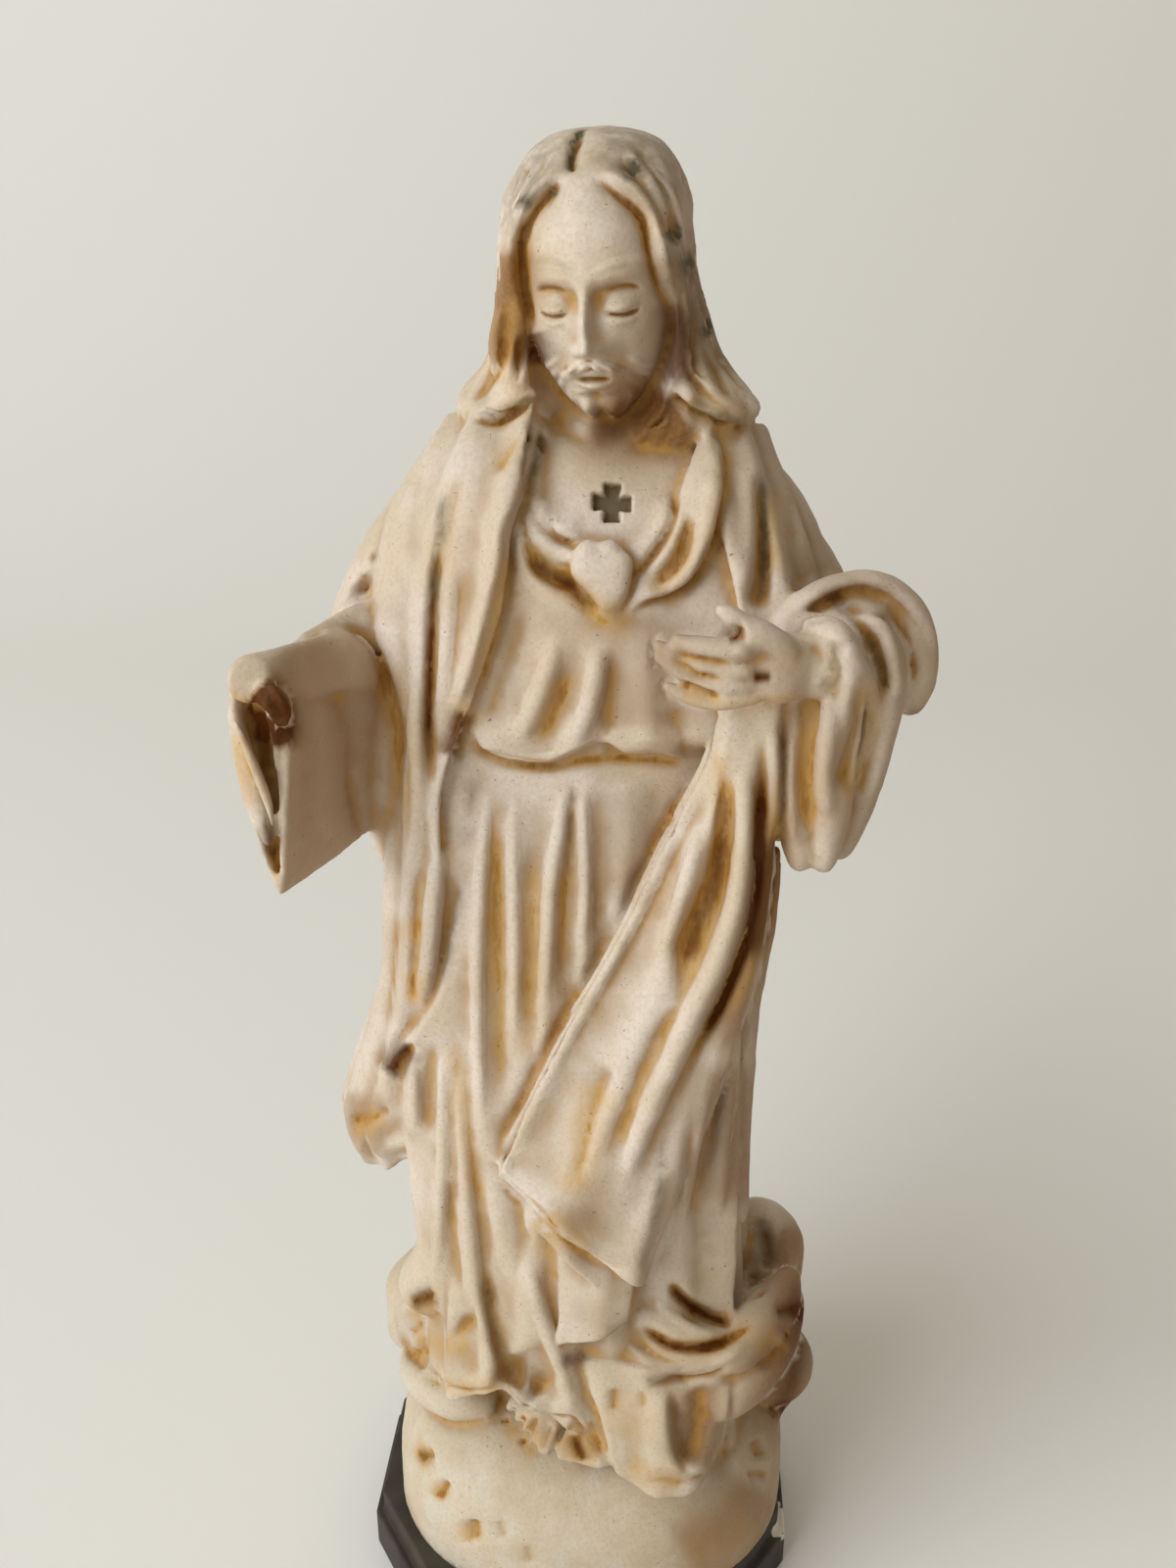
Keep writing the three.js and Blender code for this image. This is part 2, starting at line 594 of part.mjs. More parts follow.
// An octagon as a three.js shape, inset from the plinth's outline.
function octagon(inset) {
  const w = plinthWidth / 2 - inset;
  const d = plinthDepth / 2 - inset;
  const [a, b] = [plinthChamferAcross, plinthChamferDeep];
  return new THREE.Shape(
    [[w, b - d], [w, d - b], [w - a, d], [a - w, d], [-w, d - b], [-w, b - d], [a - w, -d], [w - a, -d]].map(
      ([x, y]) => new THREE.Vector2(x, y),
    ),
  );
}

function plinthSolid() {
  const slab = (inset, from, to) =>
    solid(new THREE.ExtrudeGeometry(octagon(inset), { depth: to - from, bevelEnabled: false }), (p) =>
      p.add(vec([0, 0, from])));
  const step = plinthHeight - plinthStepDown;
  return slab(0, 0, step).add(slab(plinthStepIn, step, plinthHeight));
}

function mesh(name, made, colour, roughness) {
  const m = made.getMesh();
  const points = new Float32Array(m.numVert * 3);
  for (let i = 0; i < m.numVert; i++) {
    const from = i * m.numProp;
    points.set(m.vertProperties.subarray(from, from + 3), i * 3);
  }
  const geometry = new THREE.BufferGeometry()
    .setAttribute("position", new THREE.BufferAttribute(points, 3))
    .setIndex(new THREE.BufferAttribute(m.triVerts, 1));
  geometry.computeVertexNormals();
  const material = new THREE.MeshStandardMaterial({ color: colour, roughness, metalness: 0 });
  const node = new THREE.Mesh(geometry, material);
  node.name = name;
  return node;
}

const statue = new THREE.Group();
statue.add(mesh("statue", statueSolid(), 0xd8c4ab, 0.75));
statue.add(mesh("plinth", plinthSolid(), 0x4a463c, 0.6));

export default statue;
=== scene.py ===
# A cast plaster figure on a mound of cloud, with the patina of its folds, and the dark plinth under it.
import math
import bpy
import numpy as np
from mathutils import Euler, Matrix, Vector
from mathutils.kdtree import KDTree


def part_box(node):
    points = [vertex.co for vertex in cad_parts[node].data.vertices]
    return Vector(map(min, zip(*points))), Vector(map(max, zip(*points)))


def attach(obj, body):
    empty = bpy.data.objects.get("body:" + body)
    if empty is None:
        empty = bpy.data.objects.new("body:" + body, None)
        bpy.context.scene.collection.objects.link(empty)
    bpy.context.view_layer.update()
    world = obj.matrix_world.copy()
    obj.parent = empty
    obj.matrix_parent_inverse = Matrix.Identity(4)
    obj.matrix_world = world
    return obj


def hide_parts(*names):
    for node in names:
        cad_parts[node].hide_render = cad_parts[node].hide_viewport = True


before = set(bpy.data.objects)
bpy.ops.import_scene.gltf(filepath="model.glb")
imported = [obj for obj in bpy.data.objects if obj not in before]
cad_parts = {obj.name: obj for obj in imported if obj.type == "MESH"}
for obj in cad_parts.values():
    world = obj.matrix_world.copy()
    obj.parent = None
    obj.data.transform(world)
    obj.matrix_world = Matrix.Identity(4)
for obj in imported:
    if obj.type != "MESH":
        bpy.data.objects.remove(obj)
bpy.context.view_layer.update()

# The figure is drawn in 300ths of its height, from its soles up, facing -Y, and made metres at the end.
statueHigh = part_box("statue")[1]
plinthLow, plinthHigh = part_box("plinth")
figure = {"height": 0.300, "aside": 0.0014}
unit = figure["height"] / 300
soles = statueHigh.z - figure["height"]
ground = (plinthHigh.z - soles) / unit

# The photograph's camera in the figure's units, and the pixel frame that the folds are read in.
photo = {"width": 1200, "height": 1600, "focal": 1492, "pitch": 21.3, "azimuth": 3.4, "away": 311, "up": 284}

statueSculpt = {
    "roughVoxel": 0.65,  # in the figure's units
    "voxel": 0.5,
    "quickVoxel": 0.8,
    "triangles": 190000,
    "unevenness": 0.25,  # of the hand-finished plaster
    "unevenSize": 7.0,
    "weltSunk": 0.35,  # how much of its radius a welt's middle lies under the surface
    "clothLift": (0.7, 0.6),  # how much of each stroke's height is raised before and after the welts are laid
    "cloudLift": 1.4,
    "hairLift": 1.9,
    "liftPasses": 2,  # evens out the strokes' lift, and the way that it goes
    "outwardPasses": 6,
    "rubPasses": 2,  # rounds off the tooled edges
    "creasePasses": 7,  # how far a crease, a narrow hollow and a broad one are looked for
    "finePasses": 17,
    "broadPasses": 130,
    "handMiddle": (33, -42, 206),  # the box round the left hand, which keeps its fine mesh
    "handHalf": (20, 8, 14),
    "cuffOchre": 1.8,  # paint on what is left inside the open cuff
    "cuffUmber": 0.15,
    # The side that faces this way, to the figure's left and downwards and away from the key light, gets
    # painted shade in tan.
    "paintedShadeFacing": (0.86, 0.1, -0.5),  # the way that the browner side faces
    "paintedShadePasses": 4,
    "dustFrom": 236,  # the shoulders' height; the dust lies thickest above it
}
roughVoxel = statueSculpt["roughVoxel"]
voxel = statueSculpt["voxel"]


def clamp(x, low, high):
    return np.minimum(high, np.maximum(low, x))


def bump(x):
    return np.exp(-x * x)


def smooth(x):
    t = clamp(x, 0, 1)
    return t * t * (3 - 2 * t)


def frontward(turn, share):  # crowds the sides of a skin towards its front
    return turn - share * np.sin(turn)


def squareRound(turn, half, deep, power):  # the reach of a squarish oval; power 2 is a plain ellipse
    return (np.abs(np.sin(turn) / half) ** power + np.abs(np.cos(turn) / deep) ** power) ** (-1 / power)


def along(rows, t):  # the smooth value at each share t of evenly spaced rows
    rows = np.asarray(rows, float)
    t = np.asarray(t, float)
    last = len(rows) - 1
    s = clamp(t, 0, 1) * last
    i = np.minimum(s.astype(int), last - 1)
    f = (s - i)[..., None]
    each = (np.arange(t.size),) if rows.ndim == 3 else ()
    a, b, c, d = (rows[(np.clip(i + k, 0, last), *each)] for k in (-1, 0, 1, 2))
    curve = (2 * f**3 - 3 * f**2 + 1) * b + (3 * f**2 - 2 * f**3) * c
    return curve + ((f**3 - 2 * f**2 + f) * (c - a) + (f**3 - f**2) * (d - b)) / 2


def unitVectors(v):
    return v / np.maximum(np.linalg.norm(v, axis=-1, keepdims=True), 1e-9)


def selectOnly(*pieces):
    bpy.ops.object.select_all(action="DESELECT")
    for piece in pieces:
        piece.select_set(True)
    bpy.context.view_layer.objects.active = pieces[0]


def readPoints(piece, what="co"):
    numbers = np.empty(len(piece.data.vertices) * 3, np.float32)
    piece.data.vertices.foreach_get(what, numbers)
    return numbers.reshape(-1, 3).astype(float)


def writePoints(piece, points):
    piece.data.vertices.foreach_set("co", points.astype(np.float32).ravel())
    piece.data.update()


def meshEdges(piece):
    ends = np.empty(len(piece.data.edges) * 2, np.int32)
    piece.data.edges.foreach_get("vertices", ends)
    return ends.reshape(-1, 2)


def averaged(values, ends, times):  # each point's value moves towards its neighbours' mean
    count = np.bincount(ends.ravel(), minlength=len(values))
    for _ in range(times):
        total = np.stack(
            [
                np.bincount(ends[:, 0], column[ends[:, 1]], len(values))
                + np.bincount(ends[:, 1], column[ends[:, 0]], len(values))
                for column in values.T
            ],
            1,
        )
        values = (values + total / count[:, None]) / 2
    return values


def applyModifier(piece, kind, **settings):
    selectOnly(piece)
    modifier = piece.modifiers.new(kind.title(), kind)
    for name, value in settings.items():
        setattr(modifier, name, value)
    bpy.ops.object.modifier_apply(modifier=modifier.name)


def outward(piece):
    selectOnly(piece)
    bpy.ops.object.mode_set(mode="EDIT")
    bpy.ops.mesh.select_all(action="SELECT")
    bpy.ops.mesh.normals_make_consistent(inside=False)
    bpy.ops.object.mode_set(mode="OBJECT")
    return piece


# A sphere whose points are moved by place, which gets each point's turn from the front, its share of the way
# from the top pole, and its plain place on the sphere.
def moulded(name, place, sides, rings):
    bpy.ops.object.select_all(action="DESELECT")
    bpy.ops.mesh.primitive_uv_sphere_add(segments=sides, ring_count=rings, radius=1)
    piece = bpy.context.object
    piece.name = name
    p = readPoints(piece)
    turn = np.arctan2(p[:, 0], -p[:, 1])
    share = np.arccos(clamp(p[:, 2], -1, 1)) / math.pi
    writePoints(piece, place(turn, share, p))
    return outward(piece)


# A skin round oval sections, closed at both ends. A row holds the section's centre, its half-axis across, its
# half-axis up, and how much narrower it is at its lower side.
def loft(name, rows, sides=64, rings=48, carve=lambda turn, t: 0):
    cap = 1.5 / rings

    def place(turn, share, p):
        t = clamp((share - cap) / (1 - 2 * cap), 0, 1)
        ring = clamp(np.minimum(share, 1 - share) / cap, 0, 1)
        k = along(rows, t)
        x, z = np.sin(turn), np.cos(turn)
        lean = 1 - k[:, 9] * (1 - z * ring) * 0.5
        swell = ring * (1 + carve(turn, t))
        return k[:, :3] + k[:, 3:6] * (x * lean * swell)[:, None] + k[:, 6:9] * (z * swell)[:, None]

    return moulded(name, place, sides, rings)


# A round-ended limb along points [x, y, z, radius]. It is flat times as thick along the direction press.
def limb(name, rows, flat=1.0, press=(0, 1, 0), carve=lambda turn, t: 0, sides=32, rings=40):
    def place(turn, share, p):
        t = (1 - p[:, 2]) / 2
        ring = np.hypot(p[:, 0], p[:, 1])
        around = np.arctan2(-p[:, 1], p[:, 0])
        here = along(rows, t)
        way = unitVectors(along(rows, t + 0.02)[:, :3] - along(rows, t - 0.02)[:, :3])
        side = unitVectors(np.cross(press, way))
        up = np.cross(way, side)
        r = here[:, 3] * np.sqrt(ring) * (1 + carve(around, t))
        return here[:, :3] + side * (r * np.cos(around))[:, None] + up * (r * flat * np.sin(around))[:, None]

    return moulded(name, place, sides, rings)


# Cloth laid over rows of points, each from left to right, with folds that lift it along its own normal.
def cloth(name, rows, thick, lift=lambda u, v: 0, across=70, down=100):
    def spot(u, v):
        return along(np.stack([along(row, u) for row in rows]), v)

    bpy.ops.object.select_all(action="DESELECT")
    bpy.ops.mesh.primitive_grid_add(x_subdivisions=across, y_subdivisions=down, size=2)
    piece = bpy.context.object
    piece.name = name
    p = readPoints(piece)
    u, v = (p[:, 0] + 1) / 2, (1 - p[:, 1]) / 2
    du = spot(np.minimum(u + 0.02, 1), v) - spot(np.maximum(u - 0.02, 0), v)
    dv = spot(u, np.minimum(v + 0.02, 1)) - spot(u, np.maximum(v - 0.02, 0))
    out = unitVectors(np.cross(dv, du))
    out[out[:, 1] > 0] *= -1
    writePoints(piece, spot(u, v) + out * np.broadcast_to(lift(u, v), u.shape)[:, None])
    inward = readPoints(piece, "normal")[:, 1].mean() > 0
    applyModifier(piece, "SOLIDIFY", thickness=thick, offset=1 if inward else -1)
    return outward(piece)


# Folds across a piece of cloth: each is [place at the top, place at the bottom, height, half-width].
def folds(rows):
    def raised(u, v):
        return sum(high * bump((u - top - (foot - top) * v) / wide) for top, foot, high, wide in rows)

    return raised


def cutBy(piece, cutter):
    applyModifier(piece, "BOOLEAN", operation="DIFFERENCE", object=cutter, solver="EXACT")
    bpy.data.objects.remove(cutter, do_unlink=True)
    return piece


# The robe's body: height, middle, half-width, front and back, from the neck down to the hem.
robe = {
    "rows": [
        [246, 4, 15, 11, 14], [236, 4, 28, 22, 22], [220, 4, 33, 29, 25], [203, 3, 33, 30.5, 25],
        [186, 3, 33, 30, 24], [178, 3, 31, 26.5, 23], [160, 2, 32, 27.5, 24], [135, 1, 33, 29, 26],
        [105, 0.5, 34, 31, 28], [75, 0, 35.5, 33, 30], [45, 0, 37.5, 34.5, 32], [18, 0, 39, 37, 34],
        [-6, 1, 40, 38, 35],
    ],
    "square": 2.7,  # 2 would be a plain oval
    "belt": 180,
    "blouseFold": 1.1,  # how far the folds over the belt stand out, and the height of their middle
    "blouseMiddle": 196,
    # The hem's height by turn from the front in degrees; it rises over the right foot.
    "hem": [[-180, -6], [-110, -3], [-80, 7], [-50, 8], [-29, 19], [-8, 11], [12, 3], [40, -6], [180, -6]],
    # Each fold's turn from the front at the belt and at the hem in degrees, its height and half-width.
    "folds": [
        [-66, -70, 2.4, 8], [-42, -47, 3.2, 6], [-27, -33, 2.2, 5], [-12, -20, 2.6, 6], [1, -4, 2, 5],
        [14, 12, 1.6, 6], [34, 40, 1.6, 8], [50, 56, 2.6, 6], [64, 74, 2.4, 6],
    ],
}


def makeTunic():
    top, foot = robe["rows"][0][0], robe["rows"][-1][0]
    cap = 0.01

    def place(angle, share, p):
        t = clamp((share - cap) / (1 - 2 * cap), 0, 1)
        ring = clamp(np.minimum(share, 1 - share) / cap, 0, 1)
        height, middle, half, front, back = along(robe["rows"], t).T
        turn = np.degrees(angle)
        below = clamp((robe["belt"] - height) / (robe["belt"] - foot), 0, 1)
        skirt = sum(high * bump((turn - a - (b - a) * below) / wide) for a, b, high, wide in robe["folds"])
        blouse = robe["blouseFold"] * np.cos(np.radians((turn + 12) * 15))
        out = skirt * smooth(below * 5) + blouse * bump((height - robe["blouseMiddle"]) / 14)
        depth = np.where(np.abs(turn) < 90, front, back)
        hem = np.interp(turn, *np.transpose(robe["hem"]))
        rise = (hem - foot) * smooth((top - height) / (top - foot) * 8 - 7)
        reach = ring * squareRound(angle, half + out, depth + out, robe["square"])
        return np.stack([middle + reach * np.sin(angle), -reach * np.cos(angle), height + rise], 1)

    return moulded("tunic", place, 220, 150)


# The mantle over the back and both shoulders: height, middle, half-width, front and back.
mantle = {
    "rows": [
        [251, 4, 11, 9, 13], [243, 4, 26, 13, 20], [233, 4, 38, 16, 26], [220, 4, 46, 17, 30],
        [206, 3, 49, 16, 32], [188, 2, 48, 14, 33], [168, 0, 45, 13, 34], [145, -2, 42, 12, 35],
        [118, -4, 40.5, 10, 36], [90, -3, 40, 10, 38], [60, 0, 38.5, 10, 39], [30, 0, 40, 10, 40],
        [4, 0, 41, 8, 41],
    ],
    "pleats": 9,  # waves round the back, and how far they stand out
    "pleatHeight": 1.8,
    "finePleats": 23,
    "finePleatHeight": 0.55,
}


def makeMantle():
    cap = 0.01

    def place(turn, share, p):
        t = clamp((share - cap) / (1 - 2 * cap), 0, 1)
        ring = clamp(np.minimum(share, 1 - share) / cap, 0, 1)
        height, middle, half, front, back = along(mantle["rows"], t).T
        behind = np.arctan2(np.sin(turn), -np.cos(turn))
        wave = np.cos(behind * mantle["pleats"] + 0.8 * np.sin(t * 5))
        fine = np.cos(behind * mantle["finePleats"] + 2.2 * np.sin(t * 4) + 1.1)
        high, fineHigh = mantle["pleatHeight"], mantle["finePleatHeight"]
        lift = (high * wave + fineHigh * fine * smooth(0.5 - wave)) * smooth(t * 3 - 0.5)
        depth = np.where(np.cos(turn) > 0, front, back)
        across = middle + ring * np.sin(turn) * (half + lift)
        return np.stack([across, -ring * np.cos(turn) * (depth + lift), height], 1)

    return moulded("mantle", place, 200, 140)


# The mantle's front edge on the figure's right side, from the neck to its hanging tip.
def makeRightLapel():
    rows = [
        [[-30, 4, 242], [-20, -14, 249], [-8, -18, 251]],
        [[-42, -4, 226], [-27, -25, 230], [-12, -29, 231]],
        [[-46, -10, 207], [-32, -27, 210], [-14, -32, 213]],
        [[-42, -14, 190], [-33, -28, 192], [-20, -32, 194]],
        [[-41, -14, 171], [-36, -27, 172], [-28, -29, 173]],
        [[-45, -12, 146], [-38, -25, 147], [-29, -28, 149]],
        [[-48, -9, 120], [-41, -23, 119], [-33, -27, 124]],
        [[-57, -5, 94], [-48, -18, 92], [-37, -25, 97]],
        [[-61.5, -4, 78], [-52, -15, 78], [-38, -22, 84]],
        [[-58, -3, 65], [-50, -10, 64], [-39.5, -18, 75]],
    ]
    ridges = folds([[0.9, 0.9, 2.4, 0.12], [0.55, 0.62, 2.4, 0.12], [0.2, 0.3, 2.4, 0.12]])
    return cloth("rightLapel", rows, 9, ridges)


# The mantle's left edge, from the neck down to the rolled cloth on the forearm.
def makeLeftLapel():
    rows = [
        [[22, -17, 247], [30, -10, 246], [36, -1, 243]],
        [[27, -27, 226], [36, -20, 227], [43, -6, 227]],
        [[31, -32, 210], [39, -28, 212], [48, -12, 213]],
        [[33, -33, 198], [41, -32, 200], [50, -20, 202]],
    ]
    ridges = folds([[0.1, 0.1, 1.6, 0.12], [0.5, 0.55, 2.2, 0.14], [0.9, 0.9, 1.6, 0.12]])
    return cloth("leftLapel", rows, 8, ridges)


# The mantle's other edge, brought from the left forearm slantwise over the front, and the layer under it.
def makeFrontDrape():
    over = [
        [[27, -32, 194], [34, -36, 197], [42, -31, 196]],
        [[21.5, -31.5, 168.5], [32, -38, 169], [41, -30, 167]],
        [[9.5, -33, 142.5], [26, -39, 141], [40, -30, 139]],
        [[-2, -34.5, 118], [17, -40, 114], [34, -32, 112]],
        [[-11, -36.5, 99], [7, -42, 91], [25, -34, 84]],
        [[-18, -39, 84], [-3, -43.5, 70.5], [15, -40.5, 56]],
    ]
    band = [
        [[-13, -37, 86], [-2, -40, 80], [12, -39, 74]],
        [[-12, -38.5, 78], [-4, -41.3, 70], [8, -40, 62]],
        [[-11.4, -39, 71], [-3, -42, 63.5], [7.4, -41, 51.5]],
    ]
    under = [
        [[-6, -35, 74], [6, -38, 70], [18, -36, 74]],
        [[-5, -36.5, 56], [4, -39.5, 55], [14, -38, 60]],
        [[-5, -38, 35.5], [4, -41, 39.5], [12, -39.5, 44.5]],
    ]
    overFolds = folds([[0.02, 0.02, 1.6, 0.07], [0.3, 0.42, 1.6, 0.1], [0.7, 0.86, 4, 0.13]])
    bandFolds = folds([[0.1, 0.1, 0.8, 0.12], [0.6, 0.55, 1.2, 0.16]])
    underFolds = folds([[0.5, 0.62, 1.2, 0.16]])
    return [
        cloth("drapeOver", over, 11, overFolds), cloth("drapeBand", band, 10, bandFolds),
        cloth("drapeUnder", under, 10, underFolds),
    ]


# Rows for a hanging sleeve from the elbow to the cuff: centre, half-thickness, half-height and taper.
rightSleeve = {
    "rows": [
        [-36, -4, 184, 10, 4, 0, 0, 0, 24, 0.2],
        [-46, -18, 183, 10, 4, 0, 0, 0, 25, 0.3],
        [-55, -34, 181, 8, 2.5, 0, 0, -1, 25, 0.4],
        [-61.5, -48, 180, 6.5, -1, 0, -1, -2, 24.5, 0.55],
    ],
    "wall": 2.2,
    "pocket": 7,  # how deep the open cuff is hollow
    "length": 58,
    "stump": [  # what is left of the forearm: a wrist broken off flush with the cuff
        [-48, -24, 197, 7, 2, 0, 0, 0, 8, 0],
        [-55, -40, 200, 5.4, 2, 0, 0, 0, 6, 0],
        [-61, -53, 203, 3.9, 1, 0, 0, 1.5, 4.4, 0],
    ],
    "fold": [[-65.6, -47, 197, 1.2], [-64.4, -47.5, 187, 2], [-62.4, -48, 177, 2.4], [-60.2, -49, 167, 1.8]],
    "rib": [[-64.8, -50, 194, 1], [-61.9, -50.6, 186, 1.1], [-59.3, -51.2, 178, 1.1],
            [-58.4, -51.8, 172, 0.9]],
    "crust": [[-59, -52, 202, 2], [-57, -52.6, 200, 2.4], [-55.6, -52.4, 197, 2.2], [-55, -51.6, 193, 1.6]],
    "breakMiddle": (-62.6, -57.5, 205),  # the hollow end of the broken wrist
    "breakReach": 3,
    "behind": [[-46, -8, 204, 8], [-44, -17, 188, 8], [-43, -18, 168, 7], [-45, -13, 148, 3]],
}


def makeRightSleeve():
    rows = rightSleeve["rows"]
    outer = loft("rightSleeve", rows, 96, 60, lambda turn, t: 0.05 * np.cos(turn * 3 + t * 4))
    reach = rightSleeve["pocket"] / rightSleeve["length"]
    inner = []
    for t in (1 - reach, 1 - reach / 2, 1, 1.08):
        k = along(rows, np.array([t]))[0]
        k[3:6] *= 1 - rightSleeve["wall"] / math.hypot(k[3], k[4])
        k[6:9] *= 1 - rightSleeve["wall"] / k[8]
        k[9] += 0.12  # keeps the wall sound at its lower edge
        k[:3] += [-2, -5, 0] if t > 1 else [0, 0, 0]
        inner.append(k)
    cutBy(outer, loft("sleevePocket", inner, 48, 24))
    behind = limb("behindSleeve", rightSleeve["behind"], 0.7)
    stump = loft("wristStump", rightSleeve["stump"], 40, 24)

    def breakPlace(turn, share, p):
        return p * rightSleeve["breakReach"] + rightSleeve["breakMiddle"]

    cutBy(stump, moulded("break", breakPlace, 24, 16))
    return [
        outer, behind, stump, limb("cuffFold", rightSleeve["fold"], 0.8), limb("cuffRib", rightSleeve["rib"]),
        limb("crust", rightSleeve["crust"], carve=lambda turn, t: 0.2 * np.sin(turn * 3 + t * 9)),
    ]


def insideCuff(points, normals):  # how much each point lies on the inner side of the open cuff, from 0 to 1
    end, before = (np.array(row) for row in (rightSleeve["rows"][-1], rightSleeve["rows"][-2]))
    way = unitVectors((end - before)[:3] * (1, 1, 0))
    p = points - end[:3]
    deep = p @ way
    side = p @ unitVectors(end[3:6]) / (np.linalg.norm(end[3:6]) - rightSleeve["wall"] + 0.6)
    up = p[:, 2] / (end[8] - rightSleeve["wall"] + 0.6)
    inwards = smooth(0.5 - 2 * (normals * unitVectors(p - np.outer(deep, way))).sum(1))
    within = smooth((1.05 - side**2 - up**2) / 0.2) * inwards
    return within * smooth((-deep - 1.5) / 2) * (deep > -rightSleeve["pocket"] - 3)


def makeLeftSleeve():
    rows = [
        [62, 0, 186, 4, 9, 0, 0, 0, 20, 0.1],
        [58, -14, 182, 7, 8, 0, 0, 0, 24.5, 0.1],
        [51, -26, 182, 7.5, 6, 0, 0, 0, 24.5, 0.1],
        [47, -30, 182.5, 6.5, 4, 0, 0, 0, 24.5, 0.15],
    ]
    hanging = {  # folds that hang from the wrist, and what closes the space behind
        "cuff": [[43, -38, 211, 2.5], [48.5, -38.5, 210, 3.4], [52, -37.5, 204, 3.8], [52.5, -36.5, 195, 4],
                 [51.5, -35.5, 183, 4.4], [51, -34.5, 170, 4.8], [50.5, -33, 157.5, 3.8]],
        "inner": [[43, -32.5, 204, 3.4], [43.2, -33.4, 194, 3.4], [43.4, -34, 182, 3.4],
                  [44.2, -34, 168, 3.8], [46.5, -33, 158, 3.8]],
        "outer": [[57.5, -28, 206, 4], [60.5, -26, 195, 5], [59, -26, 182, 5],
                  [56, -28, 170, 5], [53, -30, 159, 4.4]],
        "filler": [[46, -30, 206, 5], [47, -31, 190, 5], [47, -31, 172, 5], [48, -30, 160, 4]],
        "behind": [[40.5, -24, 206, 7], [41, -24, 190, 8], [41.5, -23, 172, 8], [43, -22, 160, 5]],
    }
    sleeve = loft("leftSleeve", rows, 96, 60, lambda turn, t: 0.06 * np.cos(turn * 5 + t * 3))
    return [sleeve, *(limb("leftSleeve" + name.title(), points) for name, points in hanging.items())]


# The robe's front, which closes the space behind the mantle's edges: height, then [across, depth] along it.
def makeRobeFront():
    rows = [
        (250, (-7, -7), (-2, -9), (7, -9.5), (14, -7)),
        (243, (-11, -13.5), (-4, -16.5), (5, -17), (20, -13)),
        (235, (-14, -20), (-6, -23.5), (4, -24), (25, -19.5)),
        (220, (-20, -26), (-10, -29), (4, -30), (34, -26)),
        (203, (-26, -28), (-16, -30.5), (4, -32), (37, -31)),
        (186, (-31, -28), (-20, -30), (4, -31.5), (37, -30)),
        (178, (-31, -27), (-20, -27.5), (4, -27.5), (33, -24)),
        (160, (-33, -27.5), (-22, -28.5), (2, -29), (34, -24)),
        (135, (-36, -27.5), (-24, -29.5), (1, -30), (36, -24)),
        (105, (-39, -26), (-26, -31), (1, -32), (36, -24)),
        (75, (-42, -22), (-28, -31.5), (0, -34), (37, -25)),
        (30, (-40, -18), (-26, -31), (0, -36), (37, -27)),
    ]
    return cloth("robeFront", [[[x, y, z] for x, y in row] for z, *row in rows], 14)


def makeArms():
    right = [[-21, 6, 236, 12], [-34, 4, 219, 12], [-45, 0, 203, 11], [-50, -13, 194, 9]]
    left = [[25, 6, 234, 12], [37, 4, 218, 12], [47, 1, 203, 12], [56, -6, 194, 10]]
    roll = [
        [37, -30, 203, 4], [43, -29, 209, 6], [52, -24, 212, 6.5], [60, -20, 210.5, 6.5], [66, -18, 204, 6.2],
        [68.5, -16, 194, 5.8], [68, -15, 186, 4.5],
    ]
    rollInside = [[49, -32, 208, 3], [56, -29, 207, 4], [61, -27, 201, 4.5], [62, -25, 190, 4]]
    return [
        limb("upperArmRight", right, 1.4),
        limb("upperArmLeft", left, 1.4),
        limb("armRoll", roll, 0.8, (0, 1, 0.2), rings=60),
        limb("armRollInside", rollInside, 0.7),
    ]


# The left hand: wrist, palm, four fingers and the thumb, each with points [x, y, z, radius] and its flatness.
hand = [
    ([[55, -31, 202, 6], [51, -34.5, 202, 6.8], [47, -37, 202.5, 6.8], [42, -39, 203, 6.4]], 0.8),
    ([[47, -38, 203, 6.2], [39, -41, 203.4, 7.2], [31.5, -42.5, 203.4, 5.8]], 0.55),
    ([[36, -43, 208, 2.7], [32.5, -44.5, 208.4, 2.5], [27.5, -45.6, 208.1, 2.4], [22.9, -45.4, 208.6, 2.3],
      [18.3, -44.4, 209.9, 1.8]], 1),
    ([[35, -43.4, 204.3, 2.1], [31.3, -44.8, 203.8, 1.9], [26.7, -45.4, 204.3, 1.8],
      [22.1, -45.2, 205.4, 1.7], [19.3, -44.8, 206.7, 1.6], [15, -43.6, 208.9, 1.4]], 1),
    ([[35, -43.4, 201, 2.1], [30.5, -44.8, 200.7, 1.9], [26.5, -45.3, 200.8, 1.8], [22.2, -45, 202.1, 1.7],
      [19.3, -44.5, 204, 1.6], [15.4, -43.2, 206.4, 1.3]], 1),
    ([[36, -43, 198.4, 2.2], [30.3, -44.2, 197.9, 2], [26.6, -44.4, 197.6, 1.9], [21.3, -44.2, 198.6, 1.8],
      [17, -43, 200.4, 1.5]], 1),
    ([[42, -42, 206, 3.4], [35.6, -44, 210.5, 2.9], [31.5, -45, 212.9, 2.2], [28.9, -45.6, 214.9, 2],
      [26.3, -45.8, 216.2, 1.6]], 1),
]


def makeHand():
    return [limb(f"hand{n}", rows, flat) for n, (rows, flat) in enumerate(hand)]


# The head in its own frame: +Z up, facing -Y, with the eyes at half its height.
head = {
    "height": 51.5,
    "half": 0.325,  # half of its width, and its depths from the middle, as shares of its height
    "front": 0.42,
    "back": 0.44,
    "turn": -0.14,
    "place": (4, -9.5, 272),
    "tilt": (0.14, -0.04),
}
headTurn = Euler((*head["tilt"], head["turn"]), "XYZ").to_matrix().to_4x4()
headPlace = Matrix.Translation(head["place"]) @ headTurn

